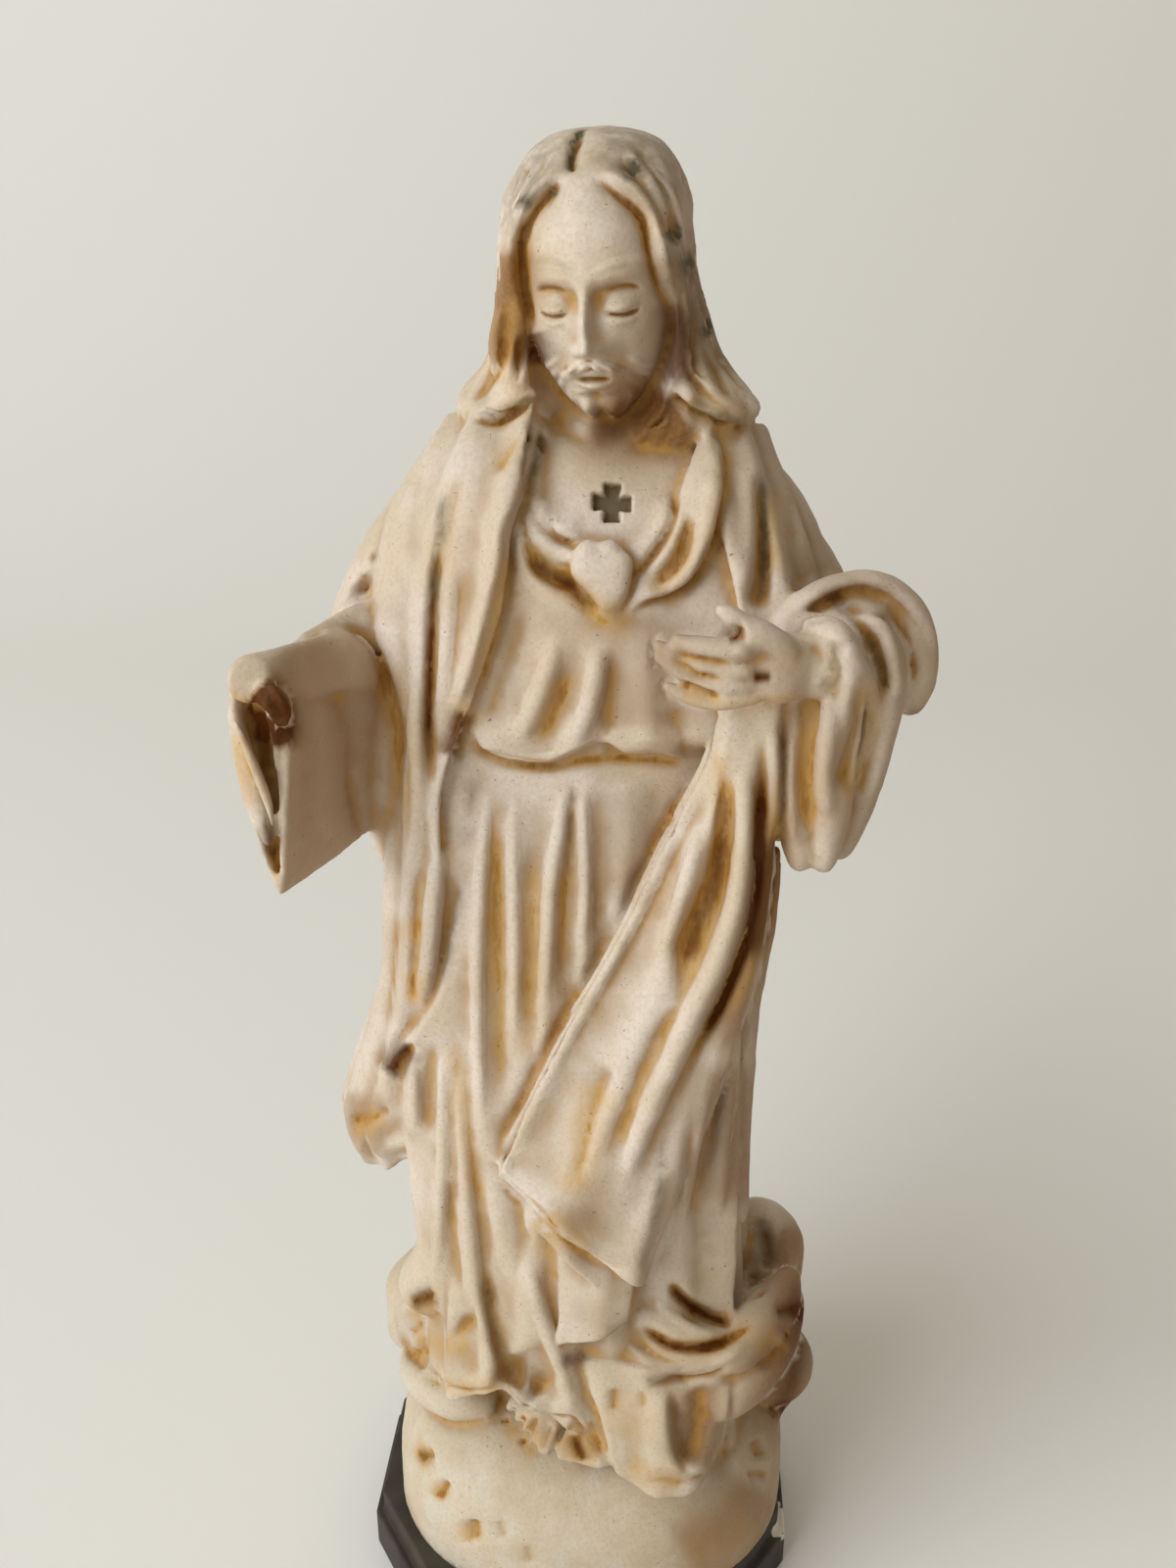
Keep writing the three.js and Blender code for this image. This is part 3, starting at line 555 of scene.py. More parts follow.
# Each feature of the face: place across and up, half-width, half-height and how far it stands out, as shares
# of the head's height. Both sides of the face are alike.
faceForms = [
    (0, 0.3, 0.2, 0.16, 0.008),  # forehead
    (0, 0.08, 0.05, 0.05, 0.008),  # between the brows
    (0.12, 0.085, 0.085, 0.03, 0.022),  # brow ridge
    (0.21, 0.06, 0.05, 0.04, 0.01),
    (0.125, 0.0, 0.08, 0.05, -0.05),  # eye socket
    (0.05, 0.0, 0.03, 0.045, -0.03),  # its inner corner
    (0.128, -0.016, 0.052, 0.038, 0.05),  # the eyeball under its lid
    (0, -0.03, 0.026, 0.07, 0.045),  # bridge of the nose
    (0, -0.11, 0.028, 0.06, 0.055),
    (0, -0.165, 0.036, 0.03, 0.065),  # tip
    (0.044, -0.18, 0.024, 0.024, 0.034),  # wing
    (0.024, -0.205, 0.015, 0.011, -0.03),  # nostril
    (0.19, -0.12, 0.08, 0.07, 0.016),  # cheek
    (0.125, -0.24, 0.03, 0.08, -0.012),  # fold beside the mouth
    (0, -0.28, 0.12, 0.07, 0.026),  # the mouth's round form
    (0, -0.318, 0.045, 0.018, 0.03),  # lower lip
    (0, -0.36, 0.06, 0.02, -0.022),  # under the lower lip
    (0.05, -0.44, 0.045, 0.065, 0.075),  # forked beard
    (0, -0.48, 0.014, 0.06, -0.04),
    (0.24, -0.3, 0.06, 0.1, 0.016),  # the beard along the jaw
    (0.15, -0.4, 0.08, 0.05, 0.03),
]

# Lines of the face as arcs: middle across and up, half-length, rise in the middle, slope, height, half-width.
faceLines = [
    (0.128, 0.02, 0.075, 0.022, 0, -0.02, 0.013),  # crease over the lid
    (0.128, -0.038, 0.07, -0.016, 0, -0.026, 0.011),  # between the lids
    (0.128, -0.02, 0.066, -0.013, 0, 0.012, 0.013),  # the upper lid's edge
    (0.128, -0.06, 0.06, -0.016, 0, 0.01, 0.013),  # the lower lid
    (0.13, 0.1, 0.1, 0.024, 0, 0.014, 0.014),  # eyebrow
    (0.052, -0.244, 0.06, 0.006, -0.3, 0.03, 0.02),  # moustache
    (0.105, -0.275, 0.05, -0.004, -0.55, 0.022, 0.018),  # and its drooping end
    (0, -0.296, 0.075, 0.008, 0, -0.034, 0.012),  # between the lips
    (0.05, -0.35, 0.05, 0.004, 0, 0.012, 0.014),  # the beard's upper edge
    (0.2, -0.29, 0.09, 0.02, -0.9, 0.014, 0.016),  # the beard's edge on the cheek
]


def makeHead():
    def place(angle, share, p):
        turn = frontward(angle, 0.5)
        rise = 0.5 * p[:, 2] + 0.5 * (1 - 2 * share)
        ring = np.sqrt(np.maximum(1 - rise * rise, 0))
        jaw = smooth((-rise - 0.1) / 0.9)
        x = ring * np.sin(turn) * head["half"] * (1 - 0.17 * jaw)
        z = rise * 0.5
        deep = np.where(np.abs(turn) < math.pi / 2, head["front"] - 0.02 * jaw, head["back"] - 0.2 * jaw)
        face = smooth(np.cos(turn) * 1.6) * smooth(ring * 4)
        side = np.abs(x)
        out = sum(
            far * bump((z - cz) / h) * bump((side - cx if cx else x) / w) for cx, cz, w, h, far in faceForms
        )
        points = np.stack([x, -ring * np.cos(turn) * deep - out * face, z], 1) * head["height"]
        return points @ np.array(headPlace.to_3x3()).T + np.array(headPlace.translation)

    neck = limb("neck", [[3, -2, 230, 9], [4, -4, 242, 9.5], [5, -6, 256, 9.5], [5, -6, 264, 8]])
    return [moulded("head", place, 260, 220), neck]


# Draws the fine lines of the face and the strands of the beard on the cast surface.
def carveFace(piece):
    points = readPoints(piece)
    q = (points - head["place"]) @ np.array(headPlace.to_3x3()) / head["height"]
    x, z = q[:, 0], q[:, 2]
    side = np.abs(x)
    skin = (z > -0.54) * (z < 0.2) * smooth((0.27 - side) / 0.04) * smooth((-q[:, 1] - 0.16) / 0.06)
    out = np.zeros(len(points))
    for cx, cz, half, sag, slope, far, wide in faceLines:
        s = (side if cx else x) - cx
        line = cz + sag * (1 - (s / half) ** 2) + slope * s
        out += far * bump((z - line) / wide) * smooth(1.6 - 1.6 * np.abs(s) / half)
    beard = smooth((-z - 0.24) * 10) * smooth((side - 0.1) * 14 + smooth((-z - 0.36) * 16)) * (z > -0.5)
    moustache = bump((z + 0.25 + 0.4 * (side - 0.06)) / 0.03) * smooth((0.13 - side) / 0.03)
    strands = beard * 0.014 * np.cos(side * 95 + 5 * np.sin(z * 20))
    out += strands + moustache * 0.006 * np.cos(z * 170 + side * 130)
    forward = np.array(headPlace.to_3x3()) @ (0, -head["height"], 0)
    writePoints(piece, points + (out * skin)[:, None] * forward)
    return skin * (z < 0.3)


# The hair from the crown to the shoulders: height, middle, half-width, front and back.
hair = {
    "rows": [
        [300, 3.5, 0.1, 0.1, 0.1], [297.5, 3, 11, 12, 13], [290, 2.5, 16.5, 20, 20],
        [280, 2.5, 18.3, 23.5, 24], [269, 3, 19.2, 24, 25], [258, 3.5, 22, 22, 26],
        [249, 5, 29.5, 18, 27], [242, 5, 27, 13, 27], [232, 4, 8, 5, 12],
    ],
    "middle": -5,  # depth of the middle of the head
    "power": 2.4,
    "gapMiddle": (2.4, -29, 262),  # what the hair leaves open for the face
    "gapHalf": (16.2, 19.5, 30),
    "gapTilt": 0.04,
    "strands": 17,
    "strandHeight": 0.024,  # shares of the hair's reach
    "waveHeight": 0.05,
    "parting": 0.05,
    # Locks from the parting down to the shoulders, each [x, y, z, radius] along it.
    "locks": [
        [[-1, -17, 292, 3], [-5.5, -20.5, 288.5, 3.6], [-9.5, -21, 283, 3.6], [-11.5, -20, 276, 3.4],
         [-13.6, -18.5, 267, 3.2], [-15.2, -17.5, 260, 3.6], [-13.8, -17.5, 253.5, 4.4],
         [-17, -17.5, 249.5, 4]],
        [[-3, -10, 295, 3], [-8, -13, 290, 4], [-11.5, -14.5, 283, 4], [-13, -13.5, 275, 4],
         [-13.5, -12, 266, 4.2], [-15, -12, 257, 4.8], [-19, -13, 250.5, 5], [-25, -14, 247, 4]],
        [[5, -17.5, 292, 3], [8.5, -20, 288.5, 3.6], [11.5, -20.5, 283, 3.6], [14.5, -19, 276, 3.6],
         [18, -17.5, 268, 3.6], [21, -16, 260, 4], [23.5, -15.8, 253, 4.4], [28, -16, 249.5, 4]],
        [[7, -10, 295, 3], [11.5, -13, 290, 4], [15, -14, 283, 4], [17, -13, 275, 4],
         [19.5, -12, 266, 4.2], [22.5, -11.5, 257, 4.8], [28, -12.5, 251, 4.6], [34.5, -14, 247, 3.6]],
    ],
}


def makeHair():
    def shellPlace(angle, t, p):
        height, middle, half, front, back = along(hair["rows"], t).T
        turn = frontward(angle, 0.2)
        deep = np.where(np.abs(turn) < math.pi / 2, front, back)
        off = np.abs(turn - head["turn"])
        waves = hair["waveHeight"] * np.cos(off * 6 + np.sin(height * 0.22)) * smooth(t * 6 - 0.8)
        strands = hair["strandHeight"] * np.cos(off * hair["strands"] * 2 + 1.5 * np.sin(height * 0.2 + off))
        strands = strands * smooth(t * 7 - 0.8)
        parting = hair["parting"] * bump(off / 0.12) * smooth(2 - t * 4)
        oval = squareRound(turn, np.maximum(half, 0.1), np.maximum(deep, 0.1), hair["power"])
        reach = oval * (1 + waves + strands - parting) * smooth(np.hypot(p[:, 0], p[:, 1]) * 6)
        across = middle + reach * np.sin(turn)
        return np.stack([across, hair["middle"] - reach * np.cos(turn), height], 1)

    def gapPlace(turn, share, p):
        square = np.maximum(np.hypot(p[:, 0], p[:, 2]), 1e-3) ** -0.2
        x = p[:, 0] * hair["gapHalf"][0] * square
        z = p[:, 2] * hair["gapHalf"][2] * square
        return np.stack([x + z * hair["gapTilt"], p[:, 1] * hair["gapHalf"][1], z], 1) + hair["gapMiddle"]

    shell = cutBy(moulded("hair", shellPlace, 200, 130), moulded("faceGap", gapPlace, 64, 48))
    backRows = [[4, 10, 252, 16], [4, 17, 240, 20], [4, 21, 226, 18], [4, 23, 214, 12], [4, 23, 206, 4]]

    def backWaves(turn, t):
        return 0.05 * np.cos(turn * 6) + 0.02 * np.cos(turn * 17 + 5 * t)

    back = limb("backHair", backRows, 0.5, carve=backWaves, sides=120, rings=80)

    def lockWaves(n):
        return lambda turn, t: 0.1 * np.cos(turn * 4 + 4 * t + n)

    locks = [
        limb(f"lock{n}", rows, 0.75, (0, 1, 0), lockWaves(n), 48, 90)
        for n, rows in enumerate(hair["locks"])
    ]
    return [shell, back, *locks]


# The loose collar in a U across the chest, the heart at its lowest point and the cross cut above it.
chest = {
    "collar": [
        [-10, -19.5, 242, 4], [-11, -26, 229, 5], [-5, -28.8, 217, 5.5], [4, -29.6, 213, 5.5],
        [15, -28.8, 216, 6], [23, -25, 229, 6], [25, -17.5, 243, 4.5],
    ],
    "heart": (4, -31.6, 218),
    "heartHalf": (6.5, 3.7, 8.6),
    "cross": (6.2, -24, 230.8),
    "lean": 0.58,  # how far the chest leans back there
    "crossWidth": 8.2,
    "crossBar": 3.1,
    "crossDepth": 1.7,
    "crossSoft": 0.6,  # the width of its edges
}


def makeChest():
    def place(turn, share, p):
        taper = 1 - 0.55 * smooth(-p[:, 2] * 0.9)
        notch = 0.16 * bump(p[:, 0] / 0.3) * smooth(p[:, 2])
        wide, thick, high = chest["heartHalf"]
        x, y, z = wide * p[:, 0] * taper, thick * p[:, 1], high * (p[:, 2] - notch)
        return np.stack([x, y, z], 1) + chest["heart"]

    return [limb("collar", chest["collar"], 0.5, rings=80), moulded("heart", place, 48, 36)]


# Sinks the cross into the chest; returns how much each point belongs to its floor, and which are near it.
def sinkCross(piece):
    points = readPoints(piece)
    lean = np.array(Euler((-chest["lean"], 0, 0)).to_matrix())
    q = (points - chest["cross"]) @ lean
    long, bar, soft = chest["crossWidth"] / 2, chest["crossBar"] / 2, chest["crossSoft"]
    x, z = np.abs(q[:, 0]), np.abs(q[:, 2])
    arms = [smooth((long - a) / soft) * smooth((bar + 0.12 * a - b) / soft) for a, b in ((x, z), (z, x))]
    near = (x < long + 1.5) & (z < long + 1.5) & (np.abs(q[:, 1]) < 6)
    floor = np.maximum(*arms) * near
    writePoints(piece, points + floor[:, None] * (lean @ (0, chest["crossDepth"], 0)))
    return floor, near


# The two feet under the hem: heel, instep and ball, then the tips of the toes from one side to the other.
feet = {
    "soles": [
        [[2, -18, 12, 7], [-4, -22, 11, 7], [-8, -26, 8.5, 7], [-10, -29, 6.5, 5.5]],
        [[6, -20, 10, 6], [4, -26, 9, 6.5], [2, -31, 7, 6], [1.5, -34, 5, 5]],
    ],
    "roots": [([-13, -23, 9], [-5.5, -31, 7]), ([-1, -33, 7], [4.5, -34, 7])],
    "tips": [([-18.6, -28, 4.6], [-8.6, -39.5, 3]), ([-4.4, -41, 2.8], [5.6, -43, 2.8])],
    "toe": 1.7,
}


def makeFeet():
    made = []
    for n, sole in enumerate(feet["soles"]):
        made.append(limb(f"foot{n}", sole, 0.7, (0, 0, 1)))
        ends = feet["roots"][n], feet["tips"][n]
        for k in range(5):
            root, tip = (np.array(a) + (np.array(b) - a) * k / 4 for a, b in ends)
            r = feet["toe"] * (1 + 0.03 * k * k)
            middle = (root + tip) / 2 + (0, 0, 0.8)
            rows = [[*root, r], [*middle, r * 0.85], [*tip, r]]
            made.append(limb(f"toe{n}{k}", rows))
    return made


# The robe's hem where it trails to the figure's right, and over the mound beside the left foot.
def makeHemPool():
    limbs = [
        [[42, -15, 155, 2.6], [40.6, -15, 137, 3], [37.6, -16, 117, 3], [36.8, -17, 96, 3], [37, -17, 74, 3],
         [37.6, -18, 57, 3.4]],
        [[-28, -18, 76, 7], [-31, -18, 56, 8.5], [-34, -16, 40, 9.5], [-42, -10, 26, 11]],
        [[12, -30, 44, 5], [22, -33, 35, 6], [36, -31, 31, 6.5], [47, -19, 33, 6.5], [52, -10, 37, 4]],
        [[10, -32, 33, 5], [21, -36, 23, 6], [35, -34, 20, 6.5], [47, -22, 25, 6.5], [53, -11, 32, 4]],
    ]
    block = [
        [[0, -36, 31], [14, -39, 31], [27, -38, 31], [40, -30, 32]],
        [[5, -39, 16], [15, -42, 15], [27, -41, 15], [37, -32, 17]],
        [[8, -41, 3], [15, -43, -3], [25, -43, -4], [34, -35, 0]],
    ]
    ridges = folds([[0.1, 0.1, 1.6, 0.1], [0.46, 0.46, 1.6, 0.12], [0.8, 0.75, 2.4, 0.12]])
    hems = [limb(f"hem{n}", rows, rings=60) for n, rows in enumerate(limbs)]
    return hems + [cloth("hemBlock", block, 14, ridges)]


# The mound, flat where it stands on the plinth, and the cloud behind and beside the feet.
mound = {
    "middle": (1, 0),
    "half": (51.5, 47.5),
    "square": 2.3,  # 2 would be a plain ellipse
    "flat": 4,  # 2 would be a plain dome
    "bankMiddle": (1, 13, 1),
    "bankHalf": (49, 35, 24),
    "bankRise": 24,  # how far the cloud rises to the figure's left
    "puffMiddle": (48, 3, -4),
    "puffHalf": (12.5, 12.5, 11),
    "rim": [[-44, 4, 0, 6], [-42, -10, 1, 7.5], [-33, -18, 0, 7.5], [-22, -20, -1, 6]],
    "rolls": [
        [[45, -5, 25, 9], [45, 5, 27, 13.5], [37, 24, 15, 15], [10, 37, 8, 16], [-19, 35, 6, 16],
         [-38, 18, 4, 15], [-42, -1, 10, 13], [-38, -11, 10, 9]],
        [[42, -5, -22, 10], [46, 5, -15, 13], [40, 23, -9, 14], [13, 41, -10, 13], [-18, 39, -7, 13],
         [-38, 18, -6, 13], [-42, 1, -5, 10]],
    ],
    "lobes": 5,  # swellings along a roll
}


def makeMound():
    def place(turn, share, p):
        ring = np.hypot(p[:, 0], p[:, 1])
        oval = squareRound(turn, 1, 1, mound["square"])
        dome = np.maximum(0, 1 - ring ** mound["flat"]) ** (1 / mound["flat"])
        rise = np.where(p[:, 2] > 0, dome, -0.3)
        across = mound["middle"][0] + ring * np.sin(turn) * oval * mound["half"][0]
        deep = mound["middle"][1] - ring * np.cos(turn) * oval * mound["half"][1]
        return np.stack([across, deep, ground * (1 - rise)], 1)

    def bankPlace(turn, share, p):
        side = np.maximum(p[:, 0], 0) * np.maximum(p[:, 2], 0) * mound["bankRise"]
        return p * mound["bankHalf"] + np.stack([side * 0, side * 0, side], 1) + mound["bankMiddle"]

    def lobes(turn, t):
        swell = 0.18 * np.cos(2 * math.pi * mound["lobes"] * t + 0.6 * np.sin(turn)) + 0.05 * np.cos(turn * 3)
        return swell + 0.05 * np.cos(turn * 5 + 26 * t) * np.cos(34 * t + 1)

    rolls = [
        limb(f"cloudRoll{n}", rows, 1, (0, 0, 1), lobes, 64, 140)
        for n, rows in enumerate(mound["rolls"])
    ]
    return [
        moulded("mound", place, 160, 120),
        moulded("cloudBank", bankPlace, 120, 60),
        moulded("sidePuff", lambda turn, share, p: p * mound["puffHalf"] + mound["puffMiddle"], 48, 32),
        limb("cloudRim", mound["rim"], 0.8, (0, 0, 1)),
        *rolls,
    ]


print("modelling the figure's parts")
parts = [
    makeTunic(), makeRobeFront(), makeMantle(), makeRightLapel(), makeLeftLapel(), *makeFrontDrape(),
    *makeRightSleeve(), *makeLeftSleeve(), *makeArms(), *makeHand(), *makeHead(), *makeHair(), *makeChest(),
    *makeFeet(), *makeHemPool(), *makeMound(),
]
selectOnly(*parts)
bpy.ops.object.join()
statue = bpy.context.object
statue.name = "statue_plaster"
statue.data.name = "statue_plaster"
print("casting them as one", len(statue.data.vertices))
applyModifier(statue, "REMESH", mode="VOXEL", voxel_size=roughVoxel)
print("cast", len(statue.data.vertices))


# The photograph's camera, in the figure's units: its place, and its right, upward and forward directions.
def photoCamera():
    pitch, azimuth = math.radians(photo["pitch"]), math.radians(photo["azimuth"])
    level = np.array([-math.sin(azimuth), math.cos(azimuth), 0])
    right = np.array([math.cos(azimuth), math.sin(azimuth), 0])
    forward = level * math.cos(pitch) - (0, 0, math.sin(pitch))
    up = level * math.sin(pitch) + (0, 0, math.cos(pitch))
    return -level * photo["away"] + (0, 0, photo["up"]), right, up, forward


def photoPixels(points):  # the pixel that each point shows at, and its depth
    eye, right, up, forward = photoCamera()
    q = points - eye
    depth = q @ forward
    across = photo["width"] / 2 + photo["focal"] * (q @ right) / depth
    down = photo["height"] / 2 - photo["focal"] * (q @ up) / depth
    return np.stack([across, down], 1), depth


# How far the photograph shows each point, from 0 to 1. Except for paint it fades on slanting faces and beside
# whatever stands well in front of it.
def facesCamera(points, normals, pixels, depth, paint):
    cell, slack, step = 3, 2.5, 5
    cells = (photo["width"] // cell + 1, photo["height"] // cell + 1)
    i, j = np.clip(pixels // cell, 0, np.subtract(cells, 1)).astype(int).T
    nearest = np.full(cells, np.inf)
    np.minimum.at(nearest, (i, j), depth)
    around = nearest.copy()
    for axis in (0, 1):
        for shift in (-1, 1):
            around = np.minimum(around, np.roll(around, shift, axis))
    towards = unitVectors(photoCamera()[0] - points)
    facing = (normals * towards).sum(1)
    shown = depth < nearest[i, j] + slack
    if paint:
        return shown * smooth((facing + 0.15) / 0.2)
    return shown * smooth((around[i, j] + step - depth) / 2) * smooth((facing - 0.05) / 0.3)


# How far each pixel is from a line, the share of the line where it is nearest, and the side that it is on.
def fromLine(pixels, line):
    a, b = line[:-1], line[1:]
    way = b - a
    length = np.maximum((way**2).sum(1), 1e-9)
    q = pixels[:, None] - a[None]
    s = clamp((q * way).sum(2) / length, 0, 1)
    gap = q - s[..., None] * way
    far = np.hypot(gap[..., 0], gap[..., 1])
    nearest = far.argmin(1)
    each = np.arange(len(pixels))
    side = way[nearest, 0] * q[each, nearest, 1] - way[nearest, 1] * q[each, nearest, 0]
    return far[each, nearest], (nearest + s[each, nearest]) / len(a), np.sign(side)


def ridge(gap, wide):
    return bump(gap / wide)


def groove(gap, wide):  # sharper at its bottom than a ridge is at its top
    return -np.exp(-np.abs(gap / wide) ** 1.4)


def edge(gap, wide):  # broadly raised on the picture's left of a line that runs down, undercut on its right
    return np.tanh(np.abs(gap) / 0.4) * np.where(gap > 0, 0.8 * bump(gap / wide / 2.2), -bump(gap / wide))


def brokenGroove(gap, wide):
    return -bump(np.maximum(np.abs(gap) - wide * 0.6, 0) / (wide * 0.35))


# Sums the strokes over the points: each is a form, a height, a half-width and the pixels it runs through.
def strokeSum(points, normals, strokes, taper=0.25, paint=False):
    pixels, depth = photoPixels(points)
    clear = facesCamera(points, normals, pixels, depth, paint)
    shown = np.nonzero(clear)[0]
    pixels, scale = pixels[shown], photo["focal"] / depth[shown]
    total = np.zeros(len(points))
    for form, high, wide, path in strokes.values():
        line = along(path, np.linspace(0, 1, 6 * len(path)))
        reach = 3 * wide * scale.max()
        inside = ((pixels > line.min(0) - reach) & (pixels < line.max(0) + reach)).all(1)
        near = np.nonzero(inside)[0]
        far, share, side = fromLine(pixels[near], line)
        ends = smooth(np.minimum(share, 1 - share) / taper) if len(path) > 2 else 1
        lift = form(far * side * np.sign(high) / scale[near], wide) * abs(high)
        total[shown[near]] += lift * ends * clear[shown[near]]
    return total


# Rounded hems, folds and strands laid on the cast along the photograph's pixels: radius and pixels.
welts = {
    "lapelHem": (1.7, [(549, 435), (541, 470), (530, 505), (514, 540), (511, 575), (495, 637), (484, 680),
        (470, 720), (450, 766)]),
    "lapelFold": (2.0, [(462, 560), (458, 640), (452, 700), (448, 760)]),
    "collarLeft": (2.4, [(537, 512), (548, 538), (566, 558), (586, 574)]),
    "collarRightOuter": (2.0, [(727, 460), (727, 510), (716, 552), (698, 585), (668, 607)]),
    "collarRightInner": (1.6, [(696, 505), (692, 538), (678, 566), (656, 590)]),
    "blouseLeft": (2.2, [(572, 640), (558, 690), (542, 730), (524, 762)]),
    "blouseMiddle": (2.0, [(614, 650), (609, 695), (597, 735), (578, 765)]),
    "blouseHem": (1.6, [(489, 757), (500, 765), (530, 771), (560, 774), (582, 765), (605, 755),
        (622, 757)]),
    "blouseHemRight": (1.4, [(618, 757), (640, 765), (665, 764), (684, 768), (704, 776)]),
    "skirtFirst": (1.4, [(500, 786), (497, 830), (491, 900), (488, 1000), (490, 1100), (496, 1190)]),
    "skirtSecond": (1.4, [(526, 786), (524, 850), (524, 920), (525, 1000), (524, 1090)]),
    "skirtThird": (1.6, [(581, 786), (576, 820), (570, 860), (562, 900), (557, 990), (555, 1050)]),
    "skirtFourth": (1.2, [(594, 786), (597, 850), (598, 910), (592, 985)]),
    "diagonalHem": (1.5, [(731, 742), (712, 790), (680, 855), (640, 940), (600, 1010), (570, 1060),
        (540, 1120), (510, 1178)]),
    "drapeRope": (3.3, [(752, 735), (757, 790), (759, 850), (752, 920), (736, 975), (712, 1025),
        (686, 1082), (662, 1136), (642, 1190), (626, 1260)]),
    "drapeInner": (1.8, [(716, 830), (706, 880), (690, 930), (672, 985)]),
    "drapeFootHem": (1.2, [(510, 1180), (514, 1198), (530, 1215), (552, 1230), (570, 1252), (590, 1270),
        (650, 1298)]),
    "sidePleatA": (2.0, [(752, 1030), (728, 1085), (714, 1140), (704, 1200), (692, 1290)]),
    "sidePleatB": (2.2, [(762, 1020), (748, 1080), (740, 1140), (736, 1200), (734, 1260)]),
    "armFold": (1.8, [(788, 735), (792, 790), (791, 850)]),
    "cuffRim": (1.5, [(806, 648), (828, 652), (846, 664), (850, 688), (842, 712)]),
    "rollFoldOuter": (2.2, [(858, 628), (884, 632), (905, 660), (916, 700), (912, 716)]),
    "rollFoldInner": (2.0, [(852, 650), (874, 668), (888, 705), (888, 750), (874, 800)]),
    "sleeveFront": (2.4, [(848, 700), (843, 750), (838, 800), (846, 845)]),
    "sleeveInner": (1.3, [(808, 735), (808, 790), (808, 840), (814, 870)]),
    "tipHem": (1.6, [(471, 890), (465, 940), (450, 1010), (430, 1045), (410, 1065), (392, 1088)]),
    "tipPleat": (1.8, [(420, 1080), (424, 1120), (424, 1160)]),
    "sideFold": (2.2, [(444, 870), (440, 930), (436, 990), (426, 1030)]),
    "hemLeft": (1.8, [(448, 1060), (451, 1120), (452, 1180), (449, 1260), (445, 1350)]),
    "hemMiddle": (2.0, [(469, 1060), (470, 1120), (476, 1200), (486, 1300), (500, 1380), (512, 1410)]),
    "hemHollow": (1.8, [(535, 1280), (550, 1330), (570, 1390), (588, 1436)]),
    "crescentUpper": (1.5, [(664, 1322), (684, 1342), (712, 1358), (742, 1360)]),
    "crescentLower": (1.8, [(636, 1366), (656, 1384), (690, 1398), (722, 1396), (752, 1378),
        (770, 1362)]),
    "blockEdge": (1.4, [(683, 1416), (683, 1450), (690, 1490), (702, 1506)]),
    "hairA": (1.5, [(583, 170), (562, 184), (544, 205), (534, 235), (531, 270), (534, 300)]),
    "hairB": (1.4, [(575, 158), (550, 178), (534, 205), (524, 240), (520, 280), (522, 320), (526, 360)]),
    "hairC": (1.3, [(560, 155), (536, 182), (521, 212), (513, 250), (510, 295), (509, 340), (505, 375),
        (490, 398)]),
    "hairD": (1.4, [(538, 335), (536, 365), (530, 390), (510, 410), (485, 413)]),
    "hairE": (1.5, [(600, 170), (622, 180), (645, 198), (660, 220), (668, 250), (675, 280), (684, 310)]),
    "hairF": (1.4, [(606, 155), (635, 168), (662, 192), (678, 225), (688, 262), (697, 300), (703, 335),
        (708, 370)]),
    "hairG": (1.3, [(625, 145), (655, 160), (682, 192), (696, 232), (706, 272), (718, 315), (730, 355),
        (748, 392)]),
    "hairH": (1.3, [(700, 345), (712, 380), (735, 405), (765, 418)]),
    "hairI": (1.2, [(712, 330), (728, 368), (750, 396), (775, 415)]),
}


def addWelts(piece):
    points, normals = readPoints(piece), readPoints(piece, "normal")
    pixels, depth = photoPixels(points)
    shown = np.nonzero(facesCamera(points, normals, pixels, depth, True) > 0.5)[0]
    out = unitVectors(averaged(normals, meshEdges(piece), statueSculpt["outwardPasses"]))
    tree = KDTree(len(shown))
    for index in shown:
        tree.insert((*pixels[index], 0), index)
    tree.balance()
    made = []
    for name, (radius, path) in welts.items():
        share = np.linspace(0, 1, 5 * len(path))
        found = [tree.find((*spot, 0))[1] for spot in along(path, share)]
        full = smooth(np.minimum(share, 1 - share) * 5)
        spots = points[found] - out[found] * (radius * (1 - full * (1 - statueSculpt["weltSunk"])))[:, None]
        for _ in range(6):
            spots[1:-1] = (spots[:-2] + 2 * spots[1:-1] + spots[2:]) / 4
        radii = radius * (0.7 + 0.3 * full)
        made.append(limb(name, np.column_stack([spots, radii]), sides=20, rings=8 * len(path)))
    selectOnly(piece, *made)
    bpy.ops.object.join()


